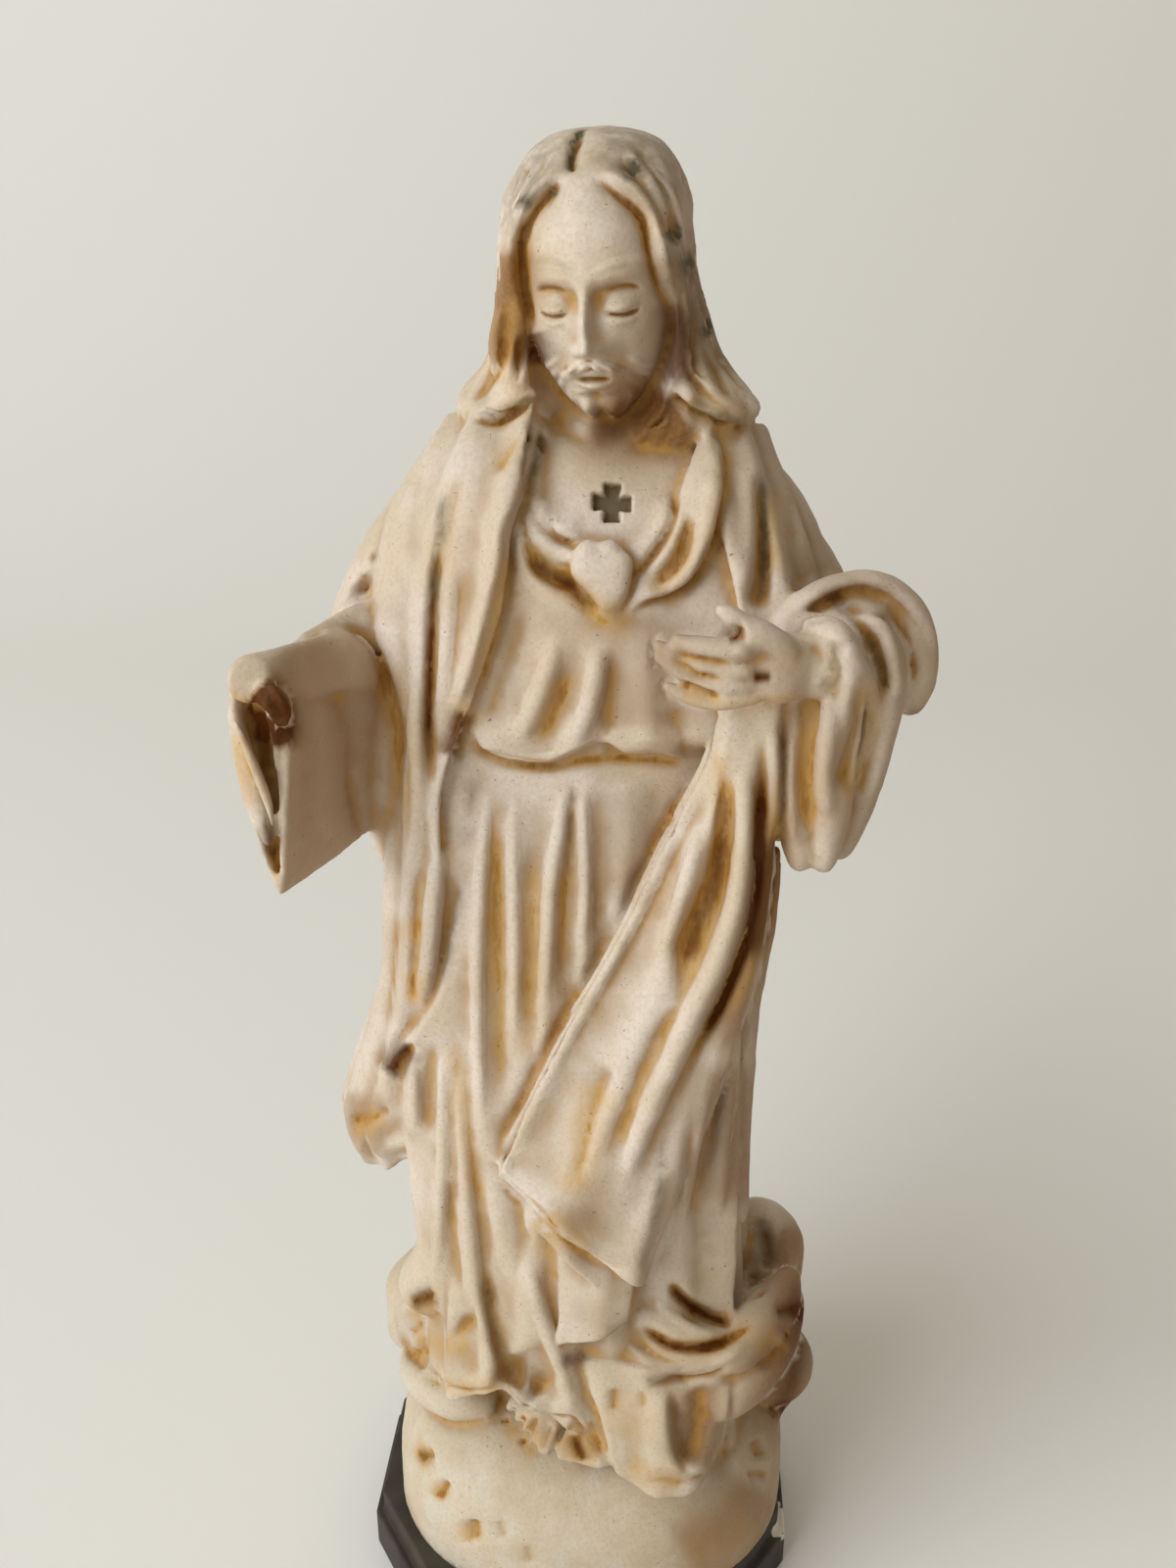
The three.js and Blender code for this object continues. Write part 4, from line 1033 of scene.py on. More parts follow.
# Folds read off the photograph, in its own 1200 by 1600 pixels, as a form, a height, a half-width and a path.
# Heights and half-widths are in the figure's units. Where two tables share a path, it is written once.
chestFolds = {
    "rightLapelEdge": (edge, 1.5, 1.9, [(549, 435), (541, 470), (530, 505), (514, 540), (511, 575),
        (495, 637), (484, 680), (470, 720), (450, 770)]),
    "rightLapelPleat": (groove, 0.9, 0.9, [(534, 441), (520, 460), (506, 485)]),
    "rightLapelLongGroove": (groove, 2.2, 1.0, [(448, 540), (443, 580), (440, 640), (438, 700),
        (438, 760), (442, 800)]),
    "rightLapelOuterGroove": (groove, 0.9, 1.4, [(474, 470), (462, 520), (455, 560), (446, 600)]),
    "collarLeftInner": (edge, -1.7, 1.6, [(541, 512), (552, 530), (570, 545), (592, 553)]),
    "collarLeftHollow": (groove, 2.2, 1.6, [(541, 548), (550, 575), (568, 589), (588, 602), (606, 622),
        (622, 638)]),
    "collarLeftOuter": (edge, 0.9, 1.4, [(530, 520), (533, 548), (545, 584), (580, 606)]),
    "heartRight": (edge, 1.0, 1.4, [(644, 562), (645, 580), (641, 602), (626, 637)]),
    "heartLeft": (edge, 1.0, 1.4, [(622, 636), (604, 620), (588, 602), (581, 580), (590, 560)]),
    "heartTop": (groove, 0.5, 0.9, [(596, 557), (612, 562), (622, 566), (630, 560), (642, 558)]),
    "collarRightInner": (edge, 1.8, 1.6, [(683, 503), (685, 525), (676, 545), (660, 568), (645, 585)]),
    "collarRightHollow": (groove, 2.0, 1.8, [(702, 520), (701, 548), (696, 570), (682, 588), (660, 603)]),
    "collarRightOuter": (edge, 1.8, 1.6, [(733, 440), (737, 490), (731, 530), (721, 560), (705, 590),
        (682, 606), (655, 615), (632, 638)]),
    "leftLapelGroove": (groove, 2.6, 1.5, [(776, 480), (780, 515), (781, 550), (779, 600), (772, 622)]),
    "leftLapelRidge": (ridge, 1.2, 2.0, [(760, 470), (764, 520), (763, 570), (757, 610)]),
    "leftLapelSmallGroove": (groove, 0.7, 1.0, [(806, 505), (811, 530), (812, 556)]),
    "blouseRidgeLeft": (ridge, 1.2, 3.4, welts["blouseLeft"][-1]),
    "blouseGrooveLeft": (groove, 0.8, 1.8, [(584, 680), (574, 705), (564, 732), (552, 760)]),
    "blouseRidgeMiddle": (ridge, 1.0, 3.0, [(612, 650), (606, 695), (594, 735), (576, 765)]),
    "blouseGrooveMiddle": (groove, 0.9, 1.3, [(627, 660), (625, 700), (622, 730), (620, 758)]),
    "blouseRidgeRight": (ridge, 0.9, 3.0, [(660, 640), (660, 690), (662, 740), (664, 762)]),
    "blouseGrooveFarLeft": (groove, 0.8, 1.6, [(536, 610), (524, 660), (508, 705), (496, 740)]),
    "blouseGrooveRight": (groove, 0.7, 1.6, [(690, 720), (694, 745), (702, 772)]),
    "blouseHemLeft": (edge, -1.5, 1.8, [(480, 735), (489, 760), (500, 766), (530, 773), (560, 777),
        (582, 767), (605, 757), (622, 759)]),
    "blouseHemRight": (edge, -1.4, 1.8, [(612, 757), (622, 758), (640, 767), (665, 766), (684, 770),
        (704, 778)]),
    "beltGroove": (groove, 1.0, 0.9, [(492, 771), (520, 780), (560, 783), (600, 777), (640, 775),
        (680, 779), (700, 784)]),
    "wedgeUnderLapel": (groove, 1.4, 1.8, [(475, 722), (464, 748), (455, 776)]),
    "neckShadowLeft": (groove, 0.8, 1.6, [(566, 420), (580, 440), (604, 452)]),
}

skirtFolds = {
    "leftGroove": (groove, 1.8, 1.4, [(492, 772), (485, 800), (475, 860), (471, 885), (463, 940),
        (450, 1000)]),
    "firstRidge": (ridge, 0.91, 2.0, [(497, 830), (490, 900), (487, 1000), (490, 1100), (496, 1190)]),
    "firstGroove": (groove, 0.76, 1.7, [(505, 815), (507, 870), (508, 920), (510, 1000), (512, 1080),
        (511, 1130)]),
    "secondRidge": (ridge, 0.84, 2.4, [(524, 820), (524, 900), (525, 1000), (524, 1080)]),
    "secondGroove": (groove, 0.6, 2.1, [(545, 860), (543, 930), (540, 1000), (537, 1085)]),
    "thirdRidge": (ridge, 0.84, 2.2, [(578, 790), (570, 850), (562, 900), (557, 990), (555, 1050)]),
    "thirdGroove": (groove, 0.71, 1.4, [(584, 795), (581, 860), (576, 920), (573, 1000)]),
    "fourthRidge": (ridge, 0.7, 1.8, [(592, 790), (597, 850), (598, 910), (592, 985)]),
    "fourthGroove": (groove, 0.35, 2.1, [(608, 800), (612, 860), (612, 915), (604, 970)]),
    "fifthRidge": (ridge, 0.56, 3.0, [(640, 790), (642, 840), (634, 900)]),
    "fifthGroove": (groove, 0.35, 2.3, [(668, 790), (668, 830), (660, 870)]),
    "lowLeftGroove": (groove, 0.76, 2.1, [(462, 1040), (467, 1090), (475, 1150), (485, 1200), (496, 1245),
        (502, 1310)]),
    "lowGroove": (groove, 0.6, 2.1, [(512, 1130), (520, 1180), (532, 1240), (548, 1300)]),
    "lowRidge": (ridge, 0.84, 2.4, [(497, 1190), (512, 1260), (530, 1320), (548, 1375)]),
}

drapeFolds = {
    "diagonalEdge": (edge, -1.9, 2.0, [(735, 745), (715, 790), (680, 855), (640, 940), (600, 1010),
        (570, 1060), (540, 1120), (517, 1160), (510, 1180)]),
    "diagonalInside": (groove, 0.7, 1.2, [(730, 800), (700, 855), (655, 945), (613, 1018), (582, 1070),
        (552, 1128)]),
    "footEdge": (edge, -1.8, 1.8, [(510, 1178), (514, 1198), (530, 1215), (552, 1230), (570, 1252),
        (590, 1270), (620, 1287), (650, 1300)]),
    "hollow": (groove, 3.2, 2.4, [(737, 770), (738, 810), (738, 860), (727, 915), (712, 950), (700, 985),
        (688, 1025)]),
    "hollowLow": (groove, 1.2, 2.0, [(690, 1025), (672, 1060), (652, 1105), (634, 1150), (612, 1200)]),
    "mainRidge": (ridge, 1.4, 2.6, [(757, 790), (759, 850), (752, 920), (736, 975), (712, 1025),
        (686, 1082), (660, 1140), (640, 1195), (622, 1268)]),
    "innerRidge": (ridge, 1.1, 2.0, welts["drapeInner"][-1]),
    "innerGroove": (groove, 1.0, 1.4, [(722, 900), (714, 925), (700, 955), (684, 990)]),
    "stainHollow": (groove, 1.3, 2.4, [(625, 1085), (610, 1115), (597, 1165), (586, 1215)]),
    "rightEdge": (groove, 1.0, 2.4, [(796, 840), (790, 890), (782, 940), (768, 990)]),
    "rightGroove": (groove, 2.8, 1.3, [(776, 735), (777, 800), (776, 860), (770, 920), (758, 970),
        (738, 1020), (714, 1066), (694, 1110)]),
    "beyondGroove": (groove, 1.4, 1.8, [(757, 1045), (735, 1075), (722, 1120), (708, 1170), (700, 1230)]),
    "beyondRidge": (ridge, 1.2, 2.4, [(770, 1040), (752, 1080), (740, 1130), (732, 1190), (728, 1240)]),
    "farGroove": (groove, 1.2, 1.8, [(762, 1060), (757, 1120), (756, 1180), (758, 1225)]),
    "lowSideGroove": (groove, 1.3, 1.8, [(690, 1190), (680, 1235), (668, 1275), (655, 1300)]),
}

sleeveFolds = {
    "rightShoulderCrease": (groove, 1.4, 1.3, [(330, 632), (358, 640), (380, 662), (396, 692), (408, 745),
        (414, 800), (413, 850), (402, 912)]),
    "rightShoulderRidge": (ridge, 1.2, 2.4, [(360, 622), (392, 650), (412, 700), (424, 760), (426, 830),
        (416, 900)]),
    "rightSleeveTop": (ridge, 1.0, 2.2, [(262, 676), (300, 658), (335, 650), (358, 668), (374, 700)]),
    "cuffNearEdge": (edge, -1.0, 1.6, [(262, 692), (282, 712), (291, 740), (288, 800), (285, 900)]),
    "rightSleeveLowFold": (groove, 1.0, 1.4, [(352, 770), (362, 815), (370, 852), (384, 900)]),
    "rightSleeveFold": (ridge, 0.8, 3.0, [(318, 690), (330, 750), (334, 810), (330, 860)]),
    "rightSleeveGroove": (groove, 0.7, 2.2, [(345, 700), (356, 740), (360, 790)]),
    "rollUpperEdge": (edge, 1.2, 1.8, [(957, 682), (945, 645), (922, 616), (905, 603), (880, 597),
        (850, 605), (825, 620), (800, 642)]),
    "rollHollow": (groove, 1.4, 1.8, [(806, 646), (828, 628), (852, 613), (878, 606), (900, 612),
        (916, 628)]),
    "rollInnerGroove": (groove, 2.0, 1.5, [(866, 612), (885, 645), (897, 675), (905, 712)]),
    "rollOuterGroove": (groove, 2.0, 1.5, [(908, 615), (922, 645), (928, 675), (932, 705)]),
    "rollInnerRidge": (ridge, 1.0, 1.8, [(880, 612), (902, 640), (912, 672), (918, 708)]),
    "rollTopFold": (groove, 0.8, 1.4, [(800, 600), (830, 588), (862, 584), (896, 592)]),
    "leftSleeveInnerRidge": (ridge, 1.2, 2.4, [(846, 640), (862, 665), (868, 710), (862, 760)]),
    "leftSleeveGroove": (groove, 2.6, 2.0, [(876, 690), (878, 740), (869, 780), (858, 808)]),
    "leftSleeveMiddleRidge": (ridge, 1.2, 2.2, [(852, 700), (843, 760), (840, 800), (846, 845)]),
    "leftSleeveMiddleGroove": (groove, 1.1, 3.0, [(820, 705), (822, 750), (822, 800), (826, 850)]),
    "leftSleeveOuterGroove": (groove, 0.8, 1.4, [(896, 735), (889, 775), (876, 815)]),
}

mantleFolds = {
    "tipOverlap": (edge, -1.3, 2.0, [(471, 890), (465, 940), (450, 1010), (430, 1045), (410, 1065),
        (392, 1090)]),
    "tipHollow": (groove, 1.8, 2.6, [(424, 1062), (410, 1078), (398, 1096)]),
    "tipRidge": (ridge, 1.2, 1.8, [(386, 1085), (398, 1108), (404, 1145)]),
    "tipCrease": (groove, 1.5, 1.4, [(356, 1146), (378, 1141), (402, 1130)]),
    "tipLowRidge": (ridge, 1.0, 2.0, [(360, 1165), (385, 1172), (420, 1160)]),
    "sideGroove": (groove, 1.4, 1.8, [(428, 880), (424, 940), (424, 990), (418, 1030)]),
    "sideRidge": (ridge, 1.2, 2.4, welts["sideFold"][-1]),
    "outerGroove": (groove, 1.0, 1.8, [(408, 930), (404, 990), (398, 1050)]),
    "lowPleat": (groove, 1.2, 1.6, [(440, 1060), (438, 1110), (436, 1160)]),
    "lowPleatRidge": (ridge, 1.0, 2.0, welts["tipPleat"][-1]),
    "shoulderPit": (groove, 1.4, 1.6, [(366, 585), (371, 594), (374, 604)]),
    "shoulderNick": (groove, 1.2, 0.8, [(380, 568), (384, 570)]),
    "shoulderFold": (groove, 0.7, 2.4, [(426, 470), (420, 520), (418, 580)]),
}

hemFolds = {
    "leftRidge": (ridge, 1.2, 2.2, [(452, 1175), (449, 1260), (446, 1345)]),
    "leftGroove": (groove, 1.2, 1.6, [(460, 1200), (464, 1260), (470, 1320)]),
    "middleRidge": (ridge, 1.5, 2.4, [(466, 1185), (480, 1300), (499, 1380), (510, 1408)]),
    "darkGroove": (groove, 2.2, 2.6, [(495, 1290), (502, 1350), (516, 1398), (540, 1425)]),
    "darkHollow": (groove, 2.0, 4.5, [(524, 1380), (540, 1408), (556, 1425)]),
    "hollowRidge": (ridge, 1.4, 2.4, welts["hemHollow"][-1]),
    "pocketA": (groove, 2.0, 1.8, [(418, 1334), (432, 1326), (448, 1320)]),
    "pocketB": (groove, 1.8, 1.6, [(416, 1362), (424, 1354), (430, 1347)]),
    "pocketC": (groove, 1.6, 1.6, [(466, 1362), (480, 1348)]),
    "hemLineLeft": (edge, -1.2, 1.6, [(434, 1398), (455, 1411), (490, 1417), (512, 1412)]),
    "hemLineMiddle": (edge, -1.4, 1.6, [(512, 1410), (530, 1430), (560, 1441), (585, 1444), (596, 1456),
        (620, 1480)]),
    "crescentUpper": (groove, 2.6, 1.2, [(682, 1308), (694, 1323), (710, 1336), (730, 1346),
        (752, 1351)]),
    "crescentLower": (groove, 2.8, 1.3, [(650, 1352), (668, 1365), (690, 1375), (725, 1374), (752, 1361),
        (778, 1343)]),
    "lapGroove": (groove, 1.5, 1.2, [(655, 1412), (675, 1413), (695, 1406), (722, 1402), (745, 1392)]),
    "blockLeftEdge": (edge, 1.2, 1.6, welts["blockEdge"][-1]),
    "blockThinEdge": (edge, 0.9, 1.2, [(745, 1394), (745, 1440), (735, 1480), (720, 1500), (704, 1513)]),
    "blockHollow": (groove, 2.8, 3.4, [(712, 1412), (716, 1440), (714, 1470), (704, 1500)]),
    "toeA": (groove, 1.6, 0.7, [(525, 1434), (521, 1443), (516, 1452)]),
    "toeB": (groove, 1.6, 0.7, [(540, 1436), (533, 1447), (525, 1459)]),
    "toeC": (groove, 1.6, 0.7, [(550, 1442), (541, 1458), (531, 1476)]),
    "toeD": (groove, 1.6, 0.8, [(565, 1448), (558, 1464), (550, 1482)]),
    "toeE": (groove, 1.6, 0.8, [(581, 1454), (588, 1472), (596, 1494)]),
    "toeF": (groove, 1.2, 0.7, [(600, 1448), (608, 1466), (615, 1488)]),
}

cloudFolds = {
    "notchA": (groove, 1.6, 2.2, [(422, 1489), (432, 1485), (442, 1481)]),
    "notchB": (groove, 1.5, 1.5, [(456, 1509), (450, 1521), (445, 1533)]),
    "notchC": (groove, 1.6, 2.0, [(481, 1550), (482, 1563), (484, 1576)]),
    "notchD": (groove, 0.6, 1.8, [(508, 1550), (510, 1560), (514, 1572)]),
    "notchE": (groove, 0.5, 1.6, [(536, 1576), (538, 1586), (542, 1597)]),
    "notchF": (groove, 0.8, 1.2, [(626, 1416), (627, 1428), (625, 1442)]),
    "notchG": (groove, 0.5, 1.0, [(654, 1418), (656, 1428), (656, 1438)]),
    "fingerA": (groove, 1.2, 0.9, [(775, 1376), (779, 1390), (783, 1405)]),
    "fingerB": (groove, 1.2, 0.9, [(785, 1365), (790, 1380), (795, 1396)]),
    "fingerC": (groove, 1.1, 0.9, [(790, 1352), (794, 1364), (798, 1376)]),
    "fingerD": (groove, 1.0, 0.9, [(798, 1348), (803, 1358), (808, 1368)]),
    "puffHollow": (groove, 2.2, 3.0, [(776, 1245), (783, 1270), (782, 1298)]),
    "puffCrease": (groove, 1.6, 1.8, [(762, 1296), (770, 1310), (778, 1322)]),
    "lowHollow": (groove, 1.8, 2.0, [(772, 1466), (777, 1478), (780, 1490)]),
    "sideCreaseA": (groove, 1.4, 1.8, [(822, 1342), (806, 1336), (792, 1338)]),
    "sideCreaseB": (groove, 1.4, 1.8, [(808, 1442), (796, 1438), (786, 1444)]),
    "sideCreaseC": (groove, 1.2, 1.8, [(786, 1508), (774, 1504), (764, 1508)]),
    "pufftopCrease": (groove, 1.0, 1.6, [(806, 1250), (800, 1262), (800, 1278)]),
    "leftRollCrease": (groove, 1.4, 1.8, [(405, 1372), (420, 1384), (436, 1396)]),
    "moundLine": (groove, 0.8, 1.6, [(650, 1517), (676, 1513), (702, 1514), (730, 1500)]),
}

hairFolds = {
    "parting": (groove, 1.5, 0.8, [(598, 130), (588, 142), (583, 160), (583, 177)]),
    "hairlineLeft": (edge, 1.2, 1.6, [(583, 177), (565, 186), (548, 203), (537, 218), (529, 240),
        (527, 266), (530, 300), (538, 335), (543, 372)]),
    "hairlineRight": (edge, -1.2, 1.6, [(600, 177), (618, 184), (640, 199), (655, 212), (664, 228),
        (668, 252), (674, 277), (682, 302), (691, 322)]),
    "endLeft": (edge, 1.2, 1.4, [(553, 403), (530, 413), (505, 427), (480, 421)]),
    "endRight": (edge, 1.2, 1.4, [(765, 433), (735, 429), (702, 411), (690, 398)]),
    "waveA": (groove, 1.0, 1.3, [(560, 160), (544, 182), (532, 205), (524, 232), (518, 262)]),
    "waveB": (groove, 0.9, 1.2, [(545, 163), (532, 180), (522, 205), (516, 232)]),
    "waveC": (groove, 1.1, 1.2, [(520, 292), (518, 330), (514, 366), (504, 396)]),
    "waveD": (groove, 0.9, 1.2, [(530, 340), (530, 370), (524, 398)]),
    "waveE": (groove, 0.8, 1.1, [(511, 330), (507, 362), (496, 392), (480, 410)]),
    "waveF": (groove, 1.0, 1.3, [(626, 160), (648, 174), (664, 196), (676, 224), (684, 256)]),
    "waveG": (groove, 0.9, 1.2, [(640, 144), (662, 164), (680, 194), (690, 226), (696, 258)]),
    "waveH": (groove, 1.0, 1.3, [(690, 280), (700, 312), (708, 346), (716, 376), (728, 396)]),
    "waveI": (groove, 0.9, 1.2, [(704, 300), (716, 340), (728, 372), (744, 396), (764, 410)]),
    "waveJ": (groove, 0.8, 1.2, [(697, 350), (704, 380), (720, 404), (742, 418)]),
    "waveK": (ridge, 0.7, 1.2, [(553, 160), (538, 182), (527, 206), (520, 236)]),
    "waveL": (ridge, 0.7, 1.3, [(524, 296), (523, 330), (520, 366), (512, 398)]),
    "waveM": (ridge, 0.7, 1.3, [(634, 152), (655, 170), (672, 198), (684, 228)]),
    "waveN": (ridge, 0.7, 1.3, [(700, 296), (708, 330), (720, 366), (736, 396)]),
    "waveO": (groove, 0.8, 1.0, [(508, 255), (506, 290), (505, 330)]),
    "waveP": (groove, 0.8, 1.0, [(704, 230), (712, 270), (722, 310), (733, 350)]),
}

handFolds = {
    "fingerA": (groove, 1.2, 0.7, [(688, 664), (700, 671), (720, 675), (750, 678)]),
    "fingerB": (groove, 1.2, 0.7, [(684, 672), (700, 682), (715, 690), (742, 693)]),
    "fingerC": (groove, 1.2, 0.7, [(690, 697), (705, 702), (720, 708), (740, 712)]),
    "thumbGap": (groove, 1.2, 1.2, [(744, 648), (752, 646), (762, 644)]),
    "wound": (brokenGroove, 0.5, 0.9, [(768, 692), (778, 691), (788, 691)]),
    "knuckleA": (ridge, 0.4, 1.2, [(756, 664), (762, 666)]),
    "knuckleB": (ridge, 0.4, 1.2, [(758, 684), (764, 686)]),
}


# Paint in the folds, along the photograph's pixels: a strength, a half-width and the pixels.
ochreStains = {
    "besideLapel": (1.1, 1.8, [(520, 560), (516, 590), (506, 632), (496, 672), (486, 712)]),
    "lapelCrease": (0.6, 1.6, chestFolds["rightLapelPleat"][-1]),
    "collarLeft": (1.2, 2.4, [(541, 552), (552, 578), (570, 592), (590, 606), (612, 628), (625, 640)]),
    "collarUnderHeart": (0.8, 2.2, [(640, 612), (632, 632), (620, 645)]),
    "collarRight": (0.9, 2.2, [(701, 540), (696, 570), (682, 590), (662, 604)]),
    "collarOuter": (0.5, 1.9, [(736, 450), (738, 490), (732, 530), (721, 562)]),
    "leftLapel": (0.9, 2.4, [(785, 500), (789, 540), (786, 590)]),
    "blouse": (0.8, 2.2, [(574, 690), (562, 728), (546, 764)]),
    "belt": (0.9, 1.3, [(490, 771), (530, 780), (570, 781), (610, 775), (650, 776), (700, 783)]),
    "firstSkirtGroove": (0.7, 2.2, [(503, 830), (505, 900), (507, 980), (509, 1050), (510, 1130)]),
    "secondSkirtGroove": (0.55, 2.8, [(544, 880), (542, 950), (539, 1020), (536, 1090)]),
    "thirdSkirtGroove": (0.4, 2.2, [(580, 880), (577, 930), (573, 985)]),
    "lowLeft": (0.8, 2.0, [(464, 1060), (470, 1120), (480, 1180), (492, 1236)]),
    "drapeHollow": (1.3, 2.6, [(737, 840), (734, 880), (724, 915), (710, 955), (700, 1000)]),
    "drapeHollowUpper": (0.9, 1.8, [(736, 765), (737, 800), (738, 845)]),
    "drapeStain": (1.1, 4.6, [(612, 1100), (604, 1140), (594, 1185), (584, 1225)]),
    "drapeFoot": (0.8, 3, [(560, 1236), (584, 1256), (604, 1270)]),
    "lapelTipSpotA": (0.9, 2.4, [(421, 936), (422, 950), (421, 962)]),
    "lapelTipSpotB": (0.9, 2.4, [(426, 992), (425, 1010), (422, 1026)]),
    "lapelTip": (1.1, 3.5, [(358, 1148), (376, 1146), (394, 1136)]),
    "rightSleeveCrease": (0.9, 3, [(384, 664), (402, 710), (410, 760), (412, 820), (404, 880)]),
    "leftSleeveOuter": (1.2, 2.4, [(884, 690), (886, 740), (874, 790), (864, 820)]),
    "leftSleeveInner": (0.9, 2.0, [(822, 735), (823, 790), (828, 850)]),
    "palm": (0.8, 1.6, [(690, 706), (720, 716), (770, 718), (820, 710)]),
    "fingers": (0.6, 0.9, handFolds["fingerB"][-1]),
    "upperFingers": (0.6, 0.8, handFolds["fingerA"][-1]),
    "lowerFingers": (0.6, 0.8, handFolds["fingerC"][-1]),
    "neckRight": (0.3, 4.1, [(660, 420), (664, 450), (658, 480)]),
    "hemPocket": (1.2, 3.2, [(416, 1340), (432, 1332), (450, 1330)]),
    "hemPocketLow": (1.2, 3.5, [(420, 1366), (450, 1372), (482, 1376)]),
    "hemLine": (0.9, 2.4, [(434, 1400), (460, 1412), (492, 1418), (514, 1414)]),
    "toesFirst": (1.2, 3.2, [(518, 1446), (534, 1466), (552, 1482)]),
    "toesSecond": (1.2, 3.5, [(576, 1452), (590, 1478), (612, 1486)]),
    "notchA": (1.3, 3.5, [(424, 1489), (432, 1485), (440, 1481)]),
    "notchB": (1.3, 2.6, [(454, 1512), (450, 1521), (446, 1530)]),
    "notchC": (1.3, 3.2, [(482, 1553), (482, 1563), (483, 1573)]),
    "notchF": (0.5, 1.6, cloudFolds["notchF"][-1]),
    "notchG": (0.4, 1.4, cloudFolds["notchG"][-1]),
    "blockTop": (0.5, 4.3, [(600, 1440), (640, 1452), (676, 1462)]),
    "blockFoot": (0.9, 3.5, [(640, 1488), (664, 1502), (700, 1512)]),
    "moundRight": (0.5, 6, [(690, 1592), (730, 1578), (770, 1546)]),
    "crescent": (0.8, 2.2, hemFolds["crescentLower"][-1]),
    "underLayer": (0.9, 2.7, [(548, 1240), (556, 1262), (566, 1286)]),
    "cloudFingers": (1, 4.1, [(774, 1386), (786, 1376), (800, 1366)]),
    "shoulderFold": (0.5, 2.7, [(470, 480), (456, 540), (446, 600)]),
    "hairlineLeft": (0.5, 2.2, [(566, 192), (546, 212), (536, 244), (533, 290), (540, 330)]),
    "hairlineRight": (0.5, 2.0, [(622, 190), (648, 206), (662, 230), (668, 262), (678, 290)]),
    "leftLocks": (0.6, 4.1, [(526, 300), (524, 340), (520, 380), (512, 400)]),
    "leftLocksEnd": (0.8, 2.7, [(548, 404), (528, 414), (504, 426)]),
    "rightLocksEnd": (0.7, 2.7, [(700, 404), (730, 420), (760, 430)]),
    "lapelWedge": (1.1, 3.2, [(484, 716), (470, 740), (458, 775)]),
    "beyondRope": (1.0, 2.6, [(792, 780), (792, 860), (782, 930), (760, 1000), (730, 1050)]),
    "cuffWall": (0.9, 2.6, [(238, 745), (246, 780), (258, 830)]),
    "wristRing": (1.0, 1.2, [(230, 700), (238, 712), (252, 716), (264, 708)]),
    "cuffRim": (0.7, 1.4, [(846, 655), (850, 682), (844, 710)]),
    "crust": (1.2, 4, [(258, 706), (275, 722), (281, 764)]),
}

# Umber in the deepest creases, on the broken wrist and in the dirt, and painted shade in the pockets beside
# the face, under the beard and in the deep hollows of the drape and the hem.
umberStainsAndShade = {
    "sleeveInside": (0.6, 2.2, [(264, 740), (268, 760), (273, 780), (276, 800)]),
    "sleeveInsideLow": (0.9, 1.6, [(270, 838), (275, 856), (279, 876)]),
    "wristCrust": (2.2, 4.0, [(258, 706), (272, 718), (281, 738), (277, 764)]),
    "collarLeft": (0.8, 1.6, [(544, 568), (560, 586), (584, 602), (606, 624)]),
    "lapelWedge": (1, 2.4, [(474, 724), (464, 750), (456, 774)]),
    "lapelGroove": (0.8, 1.0, [(446, 570), (441, 640), (438, 700), (438, 770)]),
    "shoulderPit": (0.8, 3.2, [(362, 596), (368, 600), (376, 604)]),
    "drapeHollow": (0.5, 1.3, [(735, 850), (729, 900), (714, 945), (704, 990)]),
    "tipHollow": (1, 3.2, [(420, 1066), (406, 1080), (394, 1096)]),
    "hemPocket": (0.9, 2.2, [(420, 1332), (434, 1326), (446, 1320)]),
    "darkHollow": (0.6, 4.9, [(520, 1384), (536, 1408), (552, 1424)]),
    "toesSecond": (0.7, 1.6, [(585, 1462), (592, 1478), (600, 1490)]),
    "notchA": (0.6, 1.9, [(428, 1487), (432, 1485), (438, 1482)]),
    "crescentUpper": (0.9, 1.1, [(684, 1312), (696, 1325), (712, 1337), (730, 1346), (746, 1350)]),
    "crescentLower": (0.9, 1.2, [(654, 1355), (670, 1366), (692, 1375), (724, 1374), (750, 1362)]),
    "panelHem": (0.9, 1.9, [(572, 1384), (590, 1388), (600, 1380)]),
    "rollHollow": (0.8, 2.0, [(846, 618), (854, 612), (862, 610)]),
    "thumbGap": (0.8, 1.4, [(742, 650), (750, 648), (760, 646)]),
    "wound": (1.1, 1.2, handFolds["wound"][-1]),
    "pocketRight": (1, 3.2, [(684, 302), (690, 334), (690, 366), (684, 398)]),
    "pocketLeft": (1, 2.7, [(543, 338), (547, 354), (552, 374)]),
    "underBeard": (0.8, 3.6, [(596, 440), (620, 440), (646, 432), (668, 412), (680, 388)]),
    "ropeCrease": (1.2, 1.3, [(776, 750), (777, 830), (773, 900), (760, 965), (738, 1020), (710, 1072)]),
    "beyondRope": (0.9, 2.2, [(792, 850), (788, 890), (780, 940), (764, 985)]),
    "underBelt": (0.5, 1.1, [(489, 778), (481, 815), (473, 862)]),
    "cloudRight": (0.7, 3.0, [(812, 1300), (816, 1350), (810, 1400), (796, 1450)]),
    "blockHollow": (0.7, 1.8, [(690, 1424), (692, 1460), (700, 1496)]),
    "cloudCreaseA": (0.7, 2.0, [(826, 1342), (806, 1336), (790, 1340)]),
    "cloudCreaseB": (0.7, 2.0, [(812, 1442), (796, 1438), (784, 1446)]),
    "cloudPalm": (0.6, 3.0, [(772, 1400), (784, 1386), (796, 1372)]),
    "sleeveGap": (0.7, 1.1, [(798, 730), (799, 800), (799, 870)]),
    "blockTop": (0.6, 2.0, [(655, 1408), (680, 1408), (700, 1402)]),
}

